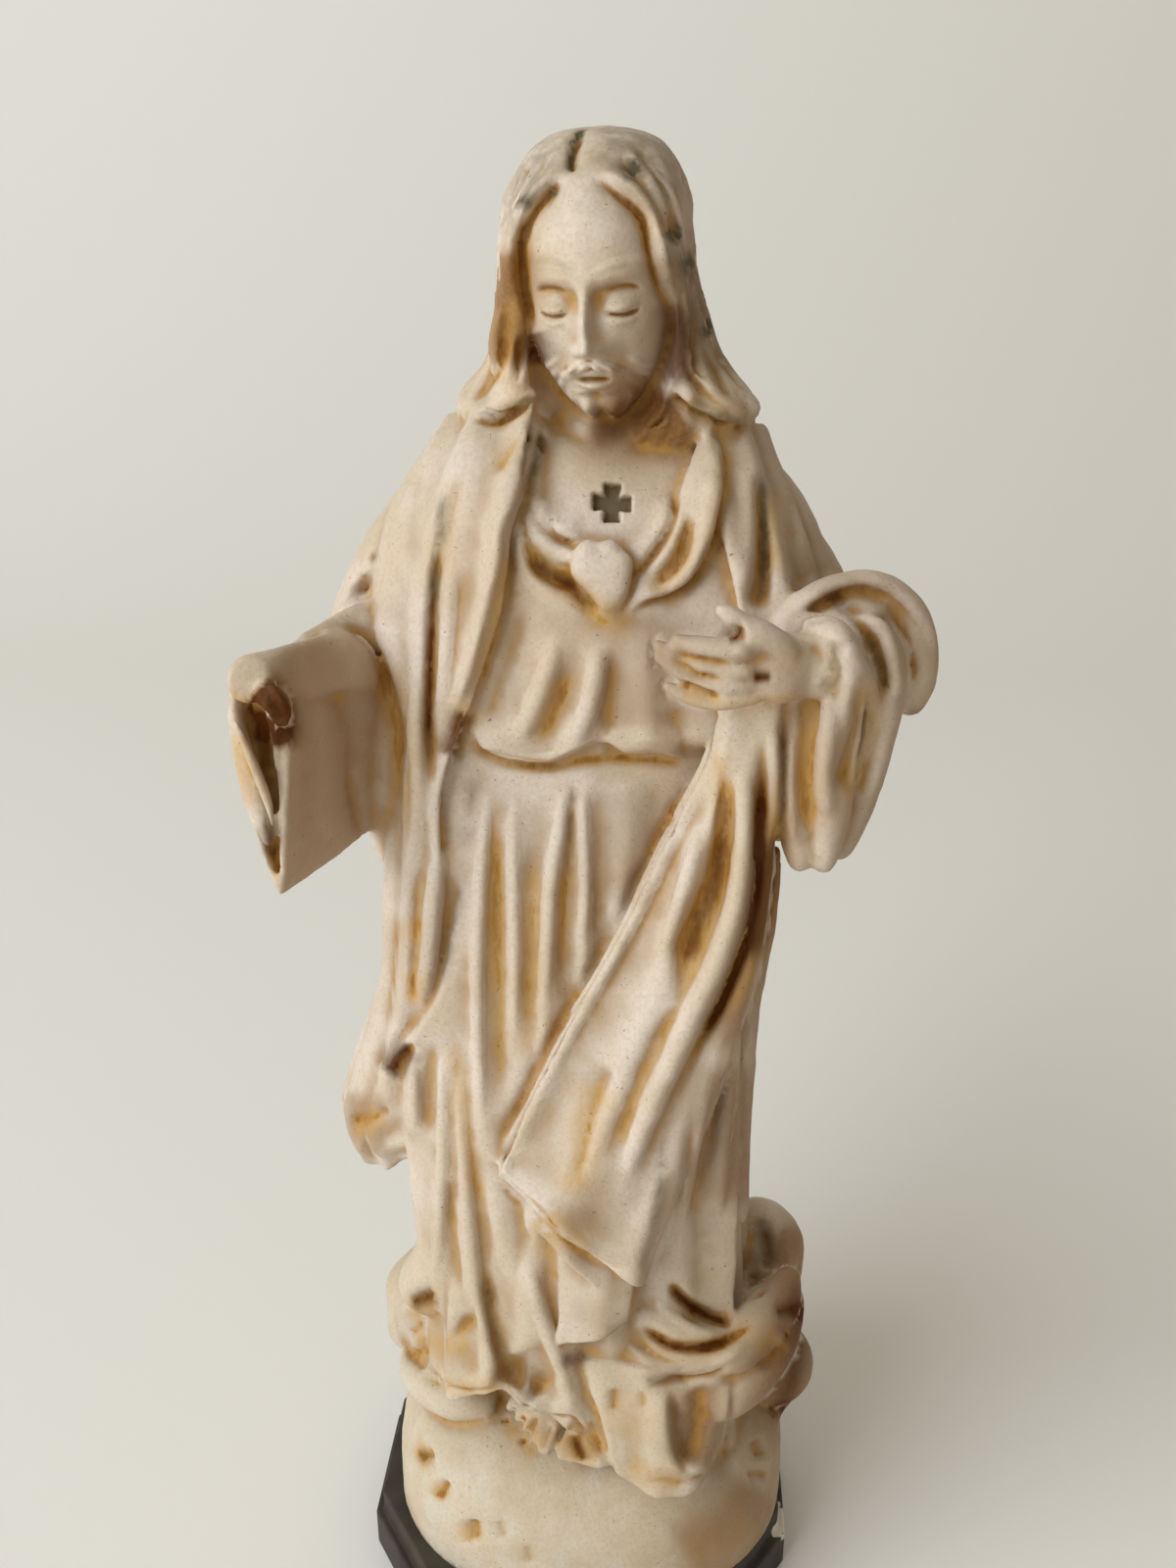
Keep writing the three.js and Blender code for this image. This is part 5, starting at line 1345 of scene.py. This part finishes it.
grimeStains = {
    "parting": (1.4, 0.7, [(598, 131), (588, 142), (583, 160), (583, 176)]),
    "hairSpotA": (1.4, 1.5, [(684, 232), (688, 238), (692, 246)]),
    "hairSpotB": (1.0, 1.6, [(644, 164), (647, 170), (644, 186)]),
    "hairSpotC": (0.9, 1.2, [(698, 258), (702, 270), (705, 282)]),
    "hairSpotD": (0.9, 1.2, [(720, 324), (722, 333), (724, 346)]),
    "hairSpotE": (1.0, 0.8, [(563, 196), (565, 198), (566, 200)]),
    "hairSpotF": (0.7, 1.4, [(530, 196), (534, 204), (544, 208)]),
    "hairTop": (0.4, 6.0, [(606, 138), (640, 150), (668, 176), (688, 216)]),
    "hairSide": (0.4, 5.0, [(692, 226), (708, 290), (724, 350), (744, 392)]),
    "hairEndLeft": (0.6, 1.2, [(482, 421), (505, 426), (528, 414), (552, 404)]),
    "hairEndRight": (0.7, 1.2, [(704, 410), (730, 424), (764, 434)]),
    "rightLapelEdge": (0.8, 0.9, [(553, 440), (546, 475), (536, 508)]),
    "leftLapelLine": (0.9, 0.9, [(777, 484), (780, 540), (779, 600)]),
    "rollInnerLine": (0.6, 0.9, [(885, 645), (898, 680), (905, 710)]),
    "rollRim": (0.7, 1.0, [(926, 726), (938, 730), (952, 720)]),
    "sleeveGap": (0.4, 1.0, umberStainsAndShade["sleeveGap"][-1]),
    "puffHollow": (0.7, 2.6, [(774, 1240), (782, 1268), (782, 1296)]),
    "handCuff": (0.6, 1.4, [(850, 650), (848, 682), (838, 708)]),
    "shoulderNick": (1.0, 0.8, [(379, 568), (382, 569), (385, 571)]),
    "drapeRightLine": (0.6, 0.9, [(676, 1165), (675, 1200), (664, 1260)]),
    "skirtLine": (0.5, 0.8, [(585, 796), (582, 850), (579, 900)]),
    "tipLine": (0.5, 0.9, [(471, 900), (464, 950), (450, 1008)]),
    "darkGroove": (0.5, 1.6, [(497, 1300), (503, 1350), (516, 1394)]),
    "hairTopLeft": (0.35, 4.0, [(572, 150), (548, 172), (528, 208), (518, 250)]),
    "lapelGrooveTop": (0.7, 1.0, [(452, 500), (447, 560), (442, 620)]),
}
# Tan over the sides that turn away from the key light and in the shaded pockets: painted shade, with some tan
# glaze.
tanGlazeAndShade = {
    "rightSleeve": (0.2, 10, [(330, 690), (335, 780), (330, 860)]),
    "rightSleeveTop": (0.5, 5, [(280, 680), (320, 660), (350, 650)]),
    "leftSleeve": (0.5, 9, [(855, 690), (850, 780), (838, 870)]),
    "roll": (0.4, 7, [(810, 600), (860, 590), (920, 630), (944, 700)]),
    "drapeRight": (1.4, 4.5, [(790, 780), (788, 880), (774, 950), (752, 1020), (724, 1076)]),
    "skirtRight": (1.0, 8, [(750, 1080), (744, 1160), (740, 1240)]),
    "blouseRight": (0.9, 10, [(672, 620), (668, 690), (666, 750)]),
    "cloudRight": (1.5, 9, [(790, 1250), (805, 1290), (806, 1380), (786, 1490)]),
    "block": (1.5, 6, [(712, 1410), (716, 1450), (702, 1500)]),
    "moundRight": (1.2, 9, [(690, 1590), (740, 1550), (770, 1510)]),
    "neck": (1.6, 8, [(600, 424), (626, 432), (654, 420), (676, 390)]),
    "hairLeft": (1.7, 5, [(524, 250), (520, 310), (514, 380)]),
    "hairRight": (0.9, 6, [(690, 250), (706, 320), (730, 390)]),
    "lapelTip": (1.1, 6, [(372, 1110), (372, 1150), (396, 1170)]),
    "lapelLow": (0.4, 6, [(420, 920), (424, 1000), (404, 1050)]),
    "hemLeft": (0.6, 6, [(420, 1330), (440, 1360), (480, 1390)]),
    "toes": (0.7, 5, [(530, 1460), (570, 1470), (612, 1480)]),
    "drapeFoot": (0.5, 5, [(545, 1240), (580, 1260), (610, 1290)]),
    "underHem": (0.5, 5, [(590, 1320), (620, 1360), (680, 1380), (740, 1380)]),
    "neckRight": (1.5, 5, [(648, 432), (676, 442), (700, 424)]),
    "hand": (0.5, 5, [(750, 668), (790, 676), (830, 684)]),
    "skirtMiddle": (0.6, 8, [(644, 800), (638, 860), (624, 930)]),
}
stainsAndShade = {"ochre": ochreStains, "umber": umberStainsAndShade, "grime": grimeStains, "tan": tanGlazeAndShade}


def movedByStrokes(piece, strokes, share):
    points, normals = readPoints(piece), readPoints(piece, "normal")
    ends = meshEdges(piece)
    lift = averaged(strokeSum(points, normals, strokes)[:, None], ends, statueSculpt["liftPasses"])
    out = unitVectors(averaged(normals, ends, statueSculpt["outwardPasses"]))
    writePoints(piece, points + out * share * lift)


print("tooling the folds")
clothFolds = {**chestFolds, **skirtFolds, **drapeFolds, **sleeveFolds, **mantleFolds, **hemFolds}
movedByStrokes(statue, clothFolds, statueSculpt["clothLift"][0])
addWelts(statue)
applyModifier(statue, "REMESH", mode="VOXEL", voxel_size=voxel)
print("recast", len(statue.data.vertices))
movedByStrokes(statue, clothFolds, statueSculpt["clothLift"][1])
movedByStrokes(statue, {**cloudFolds, **handFolds}, statueSculpt["cloudLift"])
movedByStrokes(statue, hairFolds, statueSculpt["hairLift"])
ends = meshEdges(statue)
writePoints(statue, averaged(readPoints(statue), ends, statueSculpt["rubPasses"]))
face = carveFace(statue)
cross, nearCross = sinkCross(statue)
clouds = bpy.data.textures.new("plasterUnevenness", "CLOUDS")
clouds.noise_scale = statueSculpt["unevenSize"]
swell = {"strength": statueSculpt["unevenness"] * 2, "mid_level": 0.5, "texture_coords": "LOCAL"}
applyModifier(statue, "DISPLACE", texture=clouds, **swell)

print("reading the hollows")
densePoints, denseNormals = readPoints(statue), readPoints(statue, "normal")
sharp = averaged(densePoints, ends, statueSculpt["creasePasses"])
narrow = averaged(sharp, ends, statueSculpt["finePasses"])
broad = averaged(narrow, ends, statueSculpt["broadPasses"])
finer = (statueSculpt["quickVoxel"] / voxel) ** 2  # a pass moves a point by the square of the mesh's step
crease, fineHollow, broadHollow = (
    finer * ((level - densePoints) * denseNormals).sum(1) for level in (sharp, narrow, broad)
)
# The strokes' paint: stains and dirt, and painted shade from the umber and tan strokes.
stainAndShadeSum = {}
for name, rows in stainsAndShade.items():
    strokes = {place: (ridge, *row) for place, row in rows.items()}
    stainAndShadeSum[name] = strokeSum(densePoints, denseNormals, strokes, 0.2, True)
pocket = insideCuff(densePoints, denseNormals)
stainAndShadeSum["ochre"] += statueSculpt["cuffOchre"] * pocket
stainAndShadeSum["umber"] += statueSculpt["cuffUmber"] * pocket

print("thinning the mesh, but not the face and the hand")
applyModifier(statue, "TRIANGULATE")
wanted = statueSculpt["triangles"] / len(statue.data.polygons)
group = statue.vertex_groups.new(name="thinned")
handBox = (np.abs(densePoints - statueSculpt["handMiddle"]) < statueSculpt["handHalf"]).all(1)
group.add(np.nonzero((face == 0) & ~handBox & ~nearCross)[0].tolist(), 1, "REPLACE")
if wanted < 1:
    applyModifier(statue, "DECIMATE", ratio=wanted, vertex_group="thinned")
selectOnly(statue)
bpy.ops.object.mode_set(mode="EDIT")
bpy.ops.mesh.select_all(action="SELECT")
bpy.ops.mesh.bisect(plane_co=(0, 0, ground), plane_no=(0, 0, 1), use_fill=True, clear_inner=True)
bpy.ops.object.mode_set(mode="OBJECT")
applyModifier(statue, "TRIANGULATE")

points = readPoints(statue)
tree = KDTree(len(densePoints))
for index, point in enumerate(densePoints):
    tree.insert(point, index)
tree.balance()
nearest = np.array([tree.find(point)[1] for point in points])


def addAttribute(piece, name, values):
    layer = piece.data.attributes.new(name, "FLOAT", "POINT")
    layer.data.foreach_set("value", values.astype(np.float32))


addAttribute(statue, "cross", cross[nearest])
addAttribute(statue, "crease", crease[nearest])
addAttribute(statue, "fineHollow", fineHollow[nearest])
addAttribute(statue, "broadHollow", broadHollow[nearest])
for name, total in stainAndShadeSum.items():
    addAttribute(statue, name, total[nearest])
# Painted shade: how far each place faces away from the key light, to the figure's left and downwards; the
# paint darkens it with tan.
broadNormals = averaged(readPoints(statue, "normal"), meshEdges(statue), statueSculpt["paintedShadePasses"])
settled = smooth((broadNormals[:, 2] - 0.1) / 0.7)
addAttribute(statue, "paintedShadeSide", smooth((broadNormals @ statueSculpt["paintedShadeFacing"] + 0.15) / 0.9))
addAttribute(statue, "dust", settled * (0.3 + 0.7 * smooth((points[:, 2] - statueSculpt["dustFrom"]) / 10)))
writePoints(statue, points * unit + (figure["aside"], 0, soles))
selectOnly(statue)
bpy.ops.object.shade_smooth()
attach(statue, "root")
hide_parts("statue")
print("statue", len(statue.data.polygons), "faces")


def colour(hexValue):  # an sRGB hex value as linear RGBA
    channels = [int(hexValue[k : k + 2], 16) / 255 for k in (1, 3, 5)]
    return (*[c / 12.92 if c <= 0.04045 else ((c + 0.055) / 1.055) ** 2.4 for c in channels], 1)


def addNode(tree, kind, links={}, **settings):
    made = tree.nodes.new("ShaderNode" + kind)
    for name, value in settings.items():
        setattr(made, name, value)
    for name, value in links.items():
        if isinstance(value, bpy.types.NodeSocket):
            tree.links.new(value, made.inputs[name])
        else:
            made.inputs[name].default_value = value
    return made


def newMaterial(name):
    material = bpy.data.materials.new(name)
    material.use_nodes = True
    material.node_tree.nodes.clear()
    return material, material.node_tree


# Cast plaster, brushed with cream oil paint and rubbed with an ochre glaze that stayed in the folds. It looks
# chalky and slightly satin on the ridges, and golden brown where the glaze and the dirt have gathered, with
# painted shade in the hollows and creases, and painted shade in tan on the side turned from the key light.
plasterLook = {
    "cream": "#dac7b2",
    "yellowed": "#c8b48d",
    "pale": "#e2d5c6",
    "ochre": "#c79a45",
    "sienna": "#8c581b",
    "umber": "#552a0a",
    "grime": "#5c523a",
    # the tan glaze, also laid as painted shade in the broad hollows and on the side turned from the light
    "tan": "#8b6032",
    "dust": "#ab9b7c",
    "chalky": "#d9d3c2",
    "roughness": 0.58,
    "specular": 0.35,
    "specularInDirt": 0.08,
    "paintedShadeShare": 0.55,
    "tanShare": 0.6,
    "ochreShare": 0.62,
    "umberShare": 0.9,
    "crossShare": 0.92,
    "yellowedBand": (0.16, 0.02),  # metres; the heights between which the cream turns yellower and chalkier
    "chalkyBand": (0.11, 0.05),
    "patchSize": 0.022,  # metres
    "blotchSize": 0.008,
    "streakSize": 0.0035,
    "streakLength": 0.3,  # below 1 draws the streaks out upwards
    "speckSize": 0.0008,
    "brushSize": 0.0035,
    "grainSize": 0.0009,
    "bump": 0.00025,
}


def makePlaster():
    look = plasterLook
    material, tree = newMaterial("cream painted cast plaster")
    place = addNode(tree, "TexCoord").outputs["Object"]

    def noise(size, detail=4.0, rough=0.55, where=place):
        links = {"Vector": where, "Scale": 1 / size, "Detail": detail, "Roughness": rough}
        return addNode(tree, "TexNoise", links).outputs["Fac"]

    def ramp(value, low, high, toLow=0.0, toHigh=1.0):
        links = {"Value": value, "From Min": low, "From Max": high, "To Min": toLow, "To Max": toHigh}
        return addNode(tree, "MapRange", links, interpolation_type="SMOOTHSTEP").outputs["Result"]

    def maths(operation, a, b):
        return addNode(tree, "Math", {0: a, 1: b}, operation=operation, use_clamp=True).outputs["Value"]

    def mix(factor, a, b):
        made = addNode(tree, "Mix", data_type="RGBA", blend_type="MIX")
        colours = [s for s in made.inputs if s.type == "RGBA"]
        for socket, value in ((made.inputs["Factor"], factor), (colours[0], a), (colours[1], b)):
            if isinstance(value, bpy.types.NodeSocket):
                tree.links.new(value, socket)
            else:
                socket.default_value = value
        return [s for s in made.outputs if s.type == "RGBA"][0]

    def attribute(name):
        return addNode(tree, "Attribute", attribute_name=name).outputs["Fac"]

    patches, brush, specks = noise(look["patchSize"]), noise(look["brushSize"]), noise(look["speckSize"], 2)
    blotches, grain = noise(look["blotchSize"]), noise(look["grainSize"], 2)
    scale = (1, 1, look["streakLength"])
    streaked = addNode(tree, "VectorMath", {0: place, 1: scale}, operation="MULTIPLY").outputs["Vector"]
    streaks = noise(look["streakSize"], 6.0, 0.7, streaked)
    rub = ramp(streaks, 0.3, 0.65, 0.5, 1.0)
    low = addNode(tree, "SeparateXYZ", {"Vector": place}).outputs["Z"]
    crease, fine, broad = attribute("crease"), attribute("fineHollow"), attribute("broadHollow")
    paint = mix(ramp(patches, 0.35, 0.7), colour(look["cream"]), colour(look["pale"]))
    paint = mix(ramp(low, *look["yellowedBand"], 0.0, 0.4), paint, colour(look["yellowed"]))
    mottled = maths("MULTIPLY", ramp(low, *look["chalkyBand"]), ramp(blotches, 0.42, 0.68, 0.0, 0.7))
    paint = mix(mottled, paint, colour(look["chalky"]))
    paint = mix(ramp(patches, 0.6, 0.35, 0.0, 0.2), paint, colour(look["yellowed"]))
    # Painted shade: tan laid into the broad hollows, where shade falls, with some glaze.
    secondTone = maths("MULTIPLY", ramp(broad, -0.6, 1.8, 0.0, 0.65), ramp(blotches, 0.3, 0.65, 0.6, 1.0))
    paint = mix(secondTone, paint, colour(look["tan"]))
    # Painted shade in tan on the side that faces away from the key light.
    paint = mix(maths("MULTIPLY", attribute("paintedShadeSide"), look["paintedShadeShare"]), paint, colour(look["tan"]))
    # The tan strokes: painted shade on the sides and pockets turned from the light, with some tan glaze.
    paint = mix(maths("MULTIPLY", attribute("tan"), look["tanShare"]), paint, colour(look["tan"]))
    dusty = maths("MULTIPLY", attribute("dust"), ramp(brush, 0.3, 0.7, 0.2, 0.6))
    paint = mix(dusty, paint, colour(look["dust"]))
    paint = mix(ramp(grain, 0.4, 0.7, 0.0, 0.22), paint, colour(look["dust"]))
    # Ochre by how hollow each place is, and along the ochre strokes: partly glaze, and partly painted shade
    # in the hollows.
    hollow = maths("ADD", ramp(fine, 0.05, 1.0, 0.0, 0.45), ramp(broad, 0.3, 3.0, 0.0, 0.35))
    painted = maths("MULTIPLY", attribute("ochre"), look["ochreShare"])
    glazeAndHollowShade = maths("MULTIPLY", maths("ADD", hollow, painted), rub)
    paint = mix(glazeAndHollowShade, paint, colour(look["ochre"]))
    # Sienna in the deepest glaze and in the narrow creases: partly glaze, and partly painted shade.
    brown = maths("ADD", ramp(glazeAndHollowShade, 0.6, 1.0, 0.0, 0.45), ramp(crease, 0.12, 0.5, 0.0, 0.4))
    paint = mix(maths("MULTIPLY", brown, rub), paint, colour(look["sienna"]))
    # Umber along the umber strokes and in the narrowest creases: dirt, and painted shade in the creases and
    # pockets.
    painted = maths("MULTIPLY", attribute("umber"), look["umberShare"])
    dark = maths("ADD", painted, ramp(crease, 0.35, 0.9, 0.0, 0.5))
    stained = maths("MULTIPLY", dark, ramp(streaks, 0.3, 0.65, 0.88, 1.0))
    paint = mix(stained, paint, colour(look["umber"]))
    dirt = maths("MULTIPLY", attribute("grime"), ramp(brush, 0.3, 0.55, 0.3, 0.95))
    paint = mix(dirt, paint, colour(look["grime"]))
    paint = mix(maths("MULTIPLY", attribute("cross"), look["crossShare"]), paint, colour(look["grime"]))
    paint = mix(ramp(specks, 0.68, 0.76, 0.0, 0.6), paint, colour(look["umber"]))
    high = maths("ADD", maths("MULTIPLY", grain, 0.35), maths("MULTIPLY", brush, 0.65))
    relief = addNode(tree, "Bump", {"Height": high, "Strength": 1.0, "Distance": look["bump"]})
    shader = addNode(
        tree,
        "BsdfPrincipled",
        {
            "Base Color": paint,
            "Roughness": ramp(brush, 0.2, 0.8, look["roughness"] - 0.1, look["roughness"] + 0.12),
            "Specular IOR Level": ramp(dark, 0.0, 1.0, look["specular"], look["specularInDirt"]),
            "Normal": relief.outputs["Normal"],
        },
    )
    addNode(tree, "OutputMaterial", {"Surface": shader.outputs["BSDF"]})
    return material


statue.data.materials.clear()
statue.data.materials.append(makePlaster())

# The octagonal plinth: a slab with cut corners, whose upper band stands back.
plinth = {
    "cornerAcross": 0.021,  # metres
    "cornerDeep": 0.032,
    "stepDown": 0.007,
    "stepIn": 0.002,
    "edge": 0.0007,
    "smoothAngle": 35,  # degrees
}


def selectWhere(piece, kind, test):  # leaves the piece in edit mode with those edges or faces selected
    selectOnly(piece)
    bpy.ops.object.mode_set(mode="EDIT")
    bpy.ops.mesh.select_mode(type=kind)
    bpy.ops.mesh.select_all(action="DESELECT")
    bpy.ops.object.mode_set(mode="OBJECT")
    for element in piece.data.edges if kind == "EDGE" else piece.data.polygons:
        element.select = bool(test(element))
    bpy.ops.object.mode_set(mode="EDIT")


def makePlinth():
    size = plinthHigh - plinthLow
    middle = (plinthHigh + plinthLow) / 2
    corner = (plinth["cornerAcross"], plinth["cornerDeep"])
    high = size.z - plinth["stepDown"]
    bpy.ops.object.select_all(action="DESELECT")
    bpy.ops.mesh.primitive_cube_add(size=1, scale=(size.x / corner[0], size.y / corner[1], high))
    slab = bpy.context.object
    slab.name = "plinth_painted"
    bpy.ops.object.transform_apply(location=False, rotation=False, scale=True)

    def upright(line):
        a, b = (slab.data.vertices[k].co for k in line.vertices)
        return abs(a.z - b.z) > high / 2

    selectWhere(slab, "EDGE", upright)
    bpy.ops.mesh.bevel(offset=1, segments=1)
    bpy.ops.object.mode_set(mode="OBJECT")
    writePoints(slab, readPoints(slab) * (*corner, 1) + (middle.x, middle.y, plinthLow.z + high / 2))
    selectWhere(slab, "FACE", lambda face: face.normal.z > 0.9)
    bpy.ops.mesh.inset(thickness=plinth["stepIn"])
    bpy.ops.mesh.extrude_region_move(TRANSFORM_OT_translate={"value": (0, 0, plinth["stepDown"])})
    bpy.ops.object.mode_set(mode="OBJECT")
    applyModifier(slab, "BEVEL", width=plinth["edge"], segments=3, limit_method="ANGLE")
    return slab


plinthPiece = makePlinth()
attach(plinthPiece, "root")
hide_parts("plinth")
selectOnly(plinthPiece)
bpy.ops.object.shade_smooth_by_angle(angle=math.radians(plinth["smoothAngle"]))
print("plinth", len(plinthPiece.data.polygons), "faces")


# Plaster slab under old dark oil paint, dull and worn grey-brown in patches.
plinthLook = {
    "paint": "#262018",
    "secondTone": "#413829",
    "plaster": "#d8d2c2",
    "chip": (0.0545, -0.0135, 0.011),  # metres; the middle of the white chip, at the figure's left
    "chipSize": 0.0055,
    "wearScale": 90.0,  # a patch of wear every 11 mm
    "raggedScale": 260.0,  # a jag of the chip's edge every 4 mm
    "bump": 0.0003,
    "roughness": 0.62,
}


def makePlinthPaint():
    material, tree = newMaterial("dark oil paint on plaster")
    place = addNode(tree, "TexCoord").outputs["Object"]

    def noise(scale, detail):
        return addNode(tree, "TexNoise", {"Vector": place, "Scale": scale, "Detail": detail}).outputs["Fac"]

    wear, ragged = noise(plinthLook["wearScale"], 6.0), noise(plinthLook["raggedScale"], 3.0)
    ramp = addNode(tree, "ValToRGB", {"Fac": wear})
    ramp.color_ramp.elements[0].position = 0.4
    ramp.color_ramp.elements[0].color = colour(plinthLook["paint"])
    ramp.color_ramp.elements[1].position = 0.75
    ramp.color_ramp.elements[1].color = colour(plinthLook["secondTone"])
    relief = addNode(tree, "Bump", {"Height": wear, "Distance": plinthLook["bump"]})
    away = addNode(tree, "VectorMath", {0: place, 1: plinthLook["chip"]}, operation="DISTANCE")
    reach = addNode(tree, "Math", {0: ragged, 1: plinthLook["chipSize"] * 2}, operation="MULTIPLY")
    links = {0: away.outputs["Value"], 1: reach.outputs["Value"]}
    chipped = addNode(tree, "Math", links, operation="LESS_THAN").outputs["Value"]
    links = {"Fac": chipped, "Color1": ramp.outputs["Color"], "Color2": colour(plinthLook["plaster"])}
    paint = addNode(tree, "MixRGB", links).outputs["Color"]
    links = {"Base Color": paint, "Roughness": plinthLook["roughness"], "Normal": relief.outputs["Normal"]}
    shader = addNode(tree, "BsdfPrincipled", links)
    addNode(tree, "OutputMaterial", {"Surface": shader.outputs["BSDF"]})
    return material


plinthPiece.data.materials.append(makePlinthPaint())

# A pale floor that turns up into a backdrop, a broad soft key from the picture's upper left and a pale room.
studio = {
    "floor": "#f8f8f4",
    "floorRoughness": 0.9,
    "room": "#e2d6c4",
    "roomStrength": 0.44,
    "keyPower": 45,
    "keyPlace": (-1.55, -1.25, 1.28),
    "keySize": 1.9,
    "keyColour": (0.93, 0.97, 1.0),
    "keyAim": (0, 0, 0.2),
    "wallAway": 1.6,
    "wallHigh": 3,
    "floorSize": 6,
    "curve": 0.8,  # where the floor turns up into the wall
    "sensor": 36,  # millimetres
}


def makeStage():
    bpy.ops.object.select_all(action="DESELECT")
    size = studio["floorSize"]
    bpy.ops.mesh.primitive_plane_add(size=size, location=(0, studio["wallAway"] - size / 2, 0))
    floor = bpy.context.object
    floor.name = "floor"
    bpy.ops.object.transform_apply(location=True, rotation=False, scale=False)
    bpy.ops.object.mode_set(mode="EDIT")
    bpy.ops.mesh.select_mode(type="EDGE")
    bpy.ops.mesh.select_all(action="DESELECT")
    bpy.ops.object.mode_set(mode="OBJECT")
    for line in floor.data.edges:
        line.select = all(floor.data.vertices[k].co.y > studio["wallAway"] - 0.01 for k in line.vertices)
    bpy.ops.object.mode_set(mode="EDIT")
    bpy.ops.mesh.extrude_region_move(TRANSFORM_OT_translate={"value": (0, 0, studio["wallHigh"])})
    bpy.ops.object.mode_set(mode="OBJECT")
    applyModifier(floor, "BEVEL", width=studio["curve"], segments=24, limit_method="ANGLE")
    bpy.ops.object.shade_smooth()
    material, tree = newMaterial("matt white paper")
    links = {"Base Color": colour(studio["floor"]), "Roughness": studio["floorRoughness"]}
    shader = addNode(tree, "BsdfPrincipled", links)
    addNode(tree, "OutputMaterial", {"Surface": shader.outputs["BSDF"]})
    floor.data.materials.append(material)


def makeLights():
    world = bpy.data.worlds.new("room")
    world.use_nodes = True
    background = world.node_tree.nodes["Background"]
    background.inputs["Color"].default_value = colour(studio["room"])
    background.inputs["Strength"].default_value = studio["roomStrength"]
    bpy.context.scene.world = world
    place = Vector(studio["keyPlace"])
    bpy.ops.object.light_add(type="AREA", location=place)
    key = bpy.context.object
    key.data.size = studio["keySize"]
    key.data.energy = studio["keyPower"]
    key.data.color = studio["keyColour"]
    key.rotation_euler = (Vector(studio["keyAim"]) - place).to_track_quat("-Z", "Y").to_euler()


def makeCamera():
    eye = Vector(photoCamera()[0]) * unit + Vector((figure["aside"], 0, soles))
    turn = (math.radians(90 - photo["pitch"]), 0, math.radians(photo["azimuth"]))
    bpy.ops.object.camera_add(location=eye, rotation=turn)
    camera = bpy.context.object
    camera.data.sensor_width = studio["sensor"]
    camera.data.lens = studio["sensor"] * photo["focal"] / photo["height"]
    camera.data.clip_start = 0.01
    bpy.context.scene.camera = camera


print("stage, lights and camera")
makeStage()
makeLights()
makeCamera()
bpy.context.scene.view_settings.view_transform = "Standard"
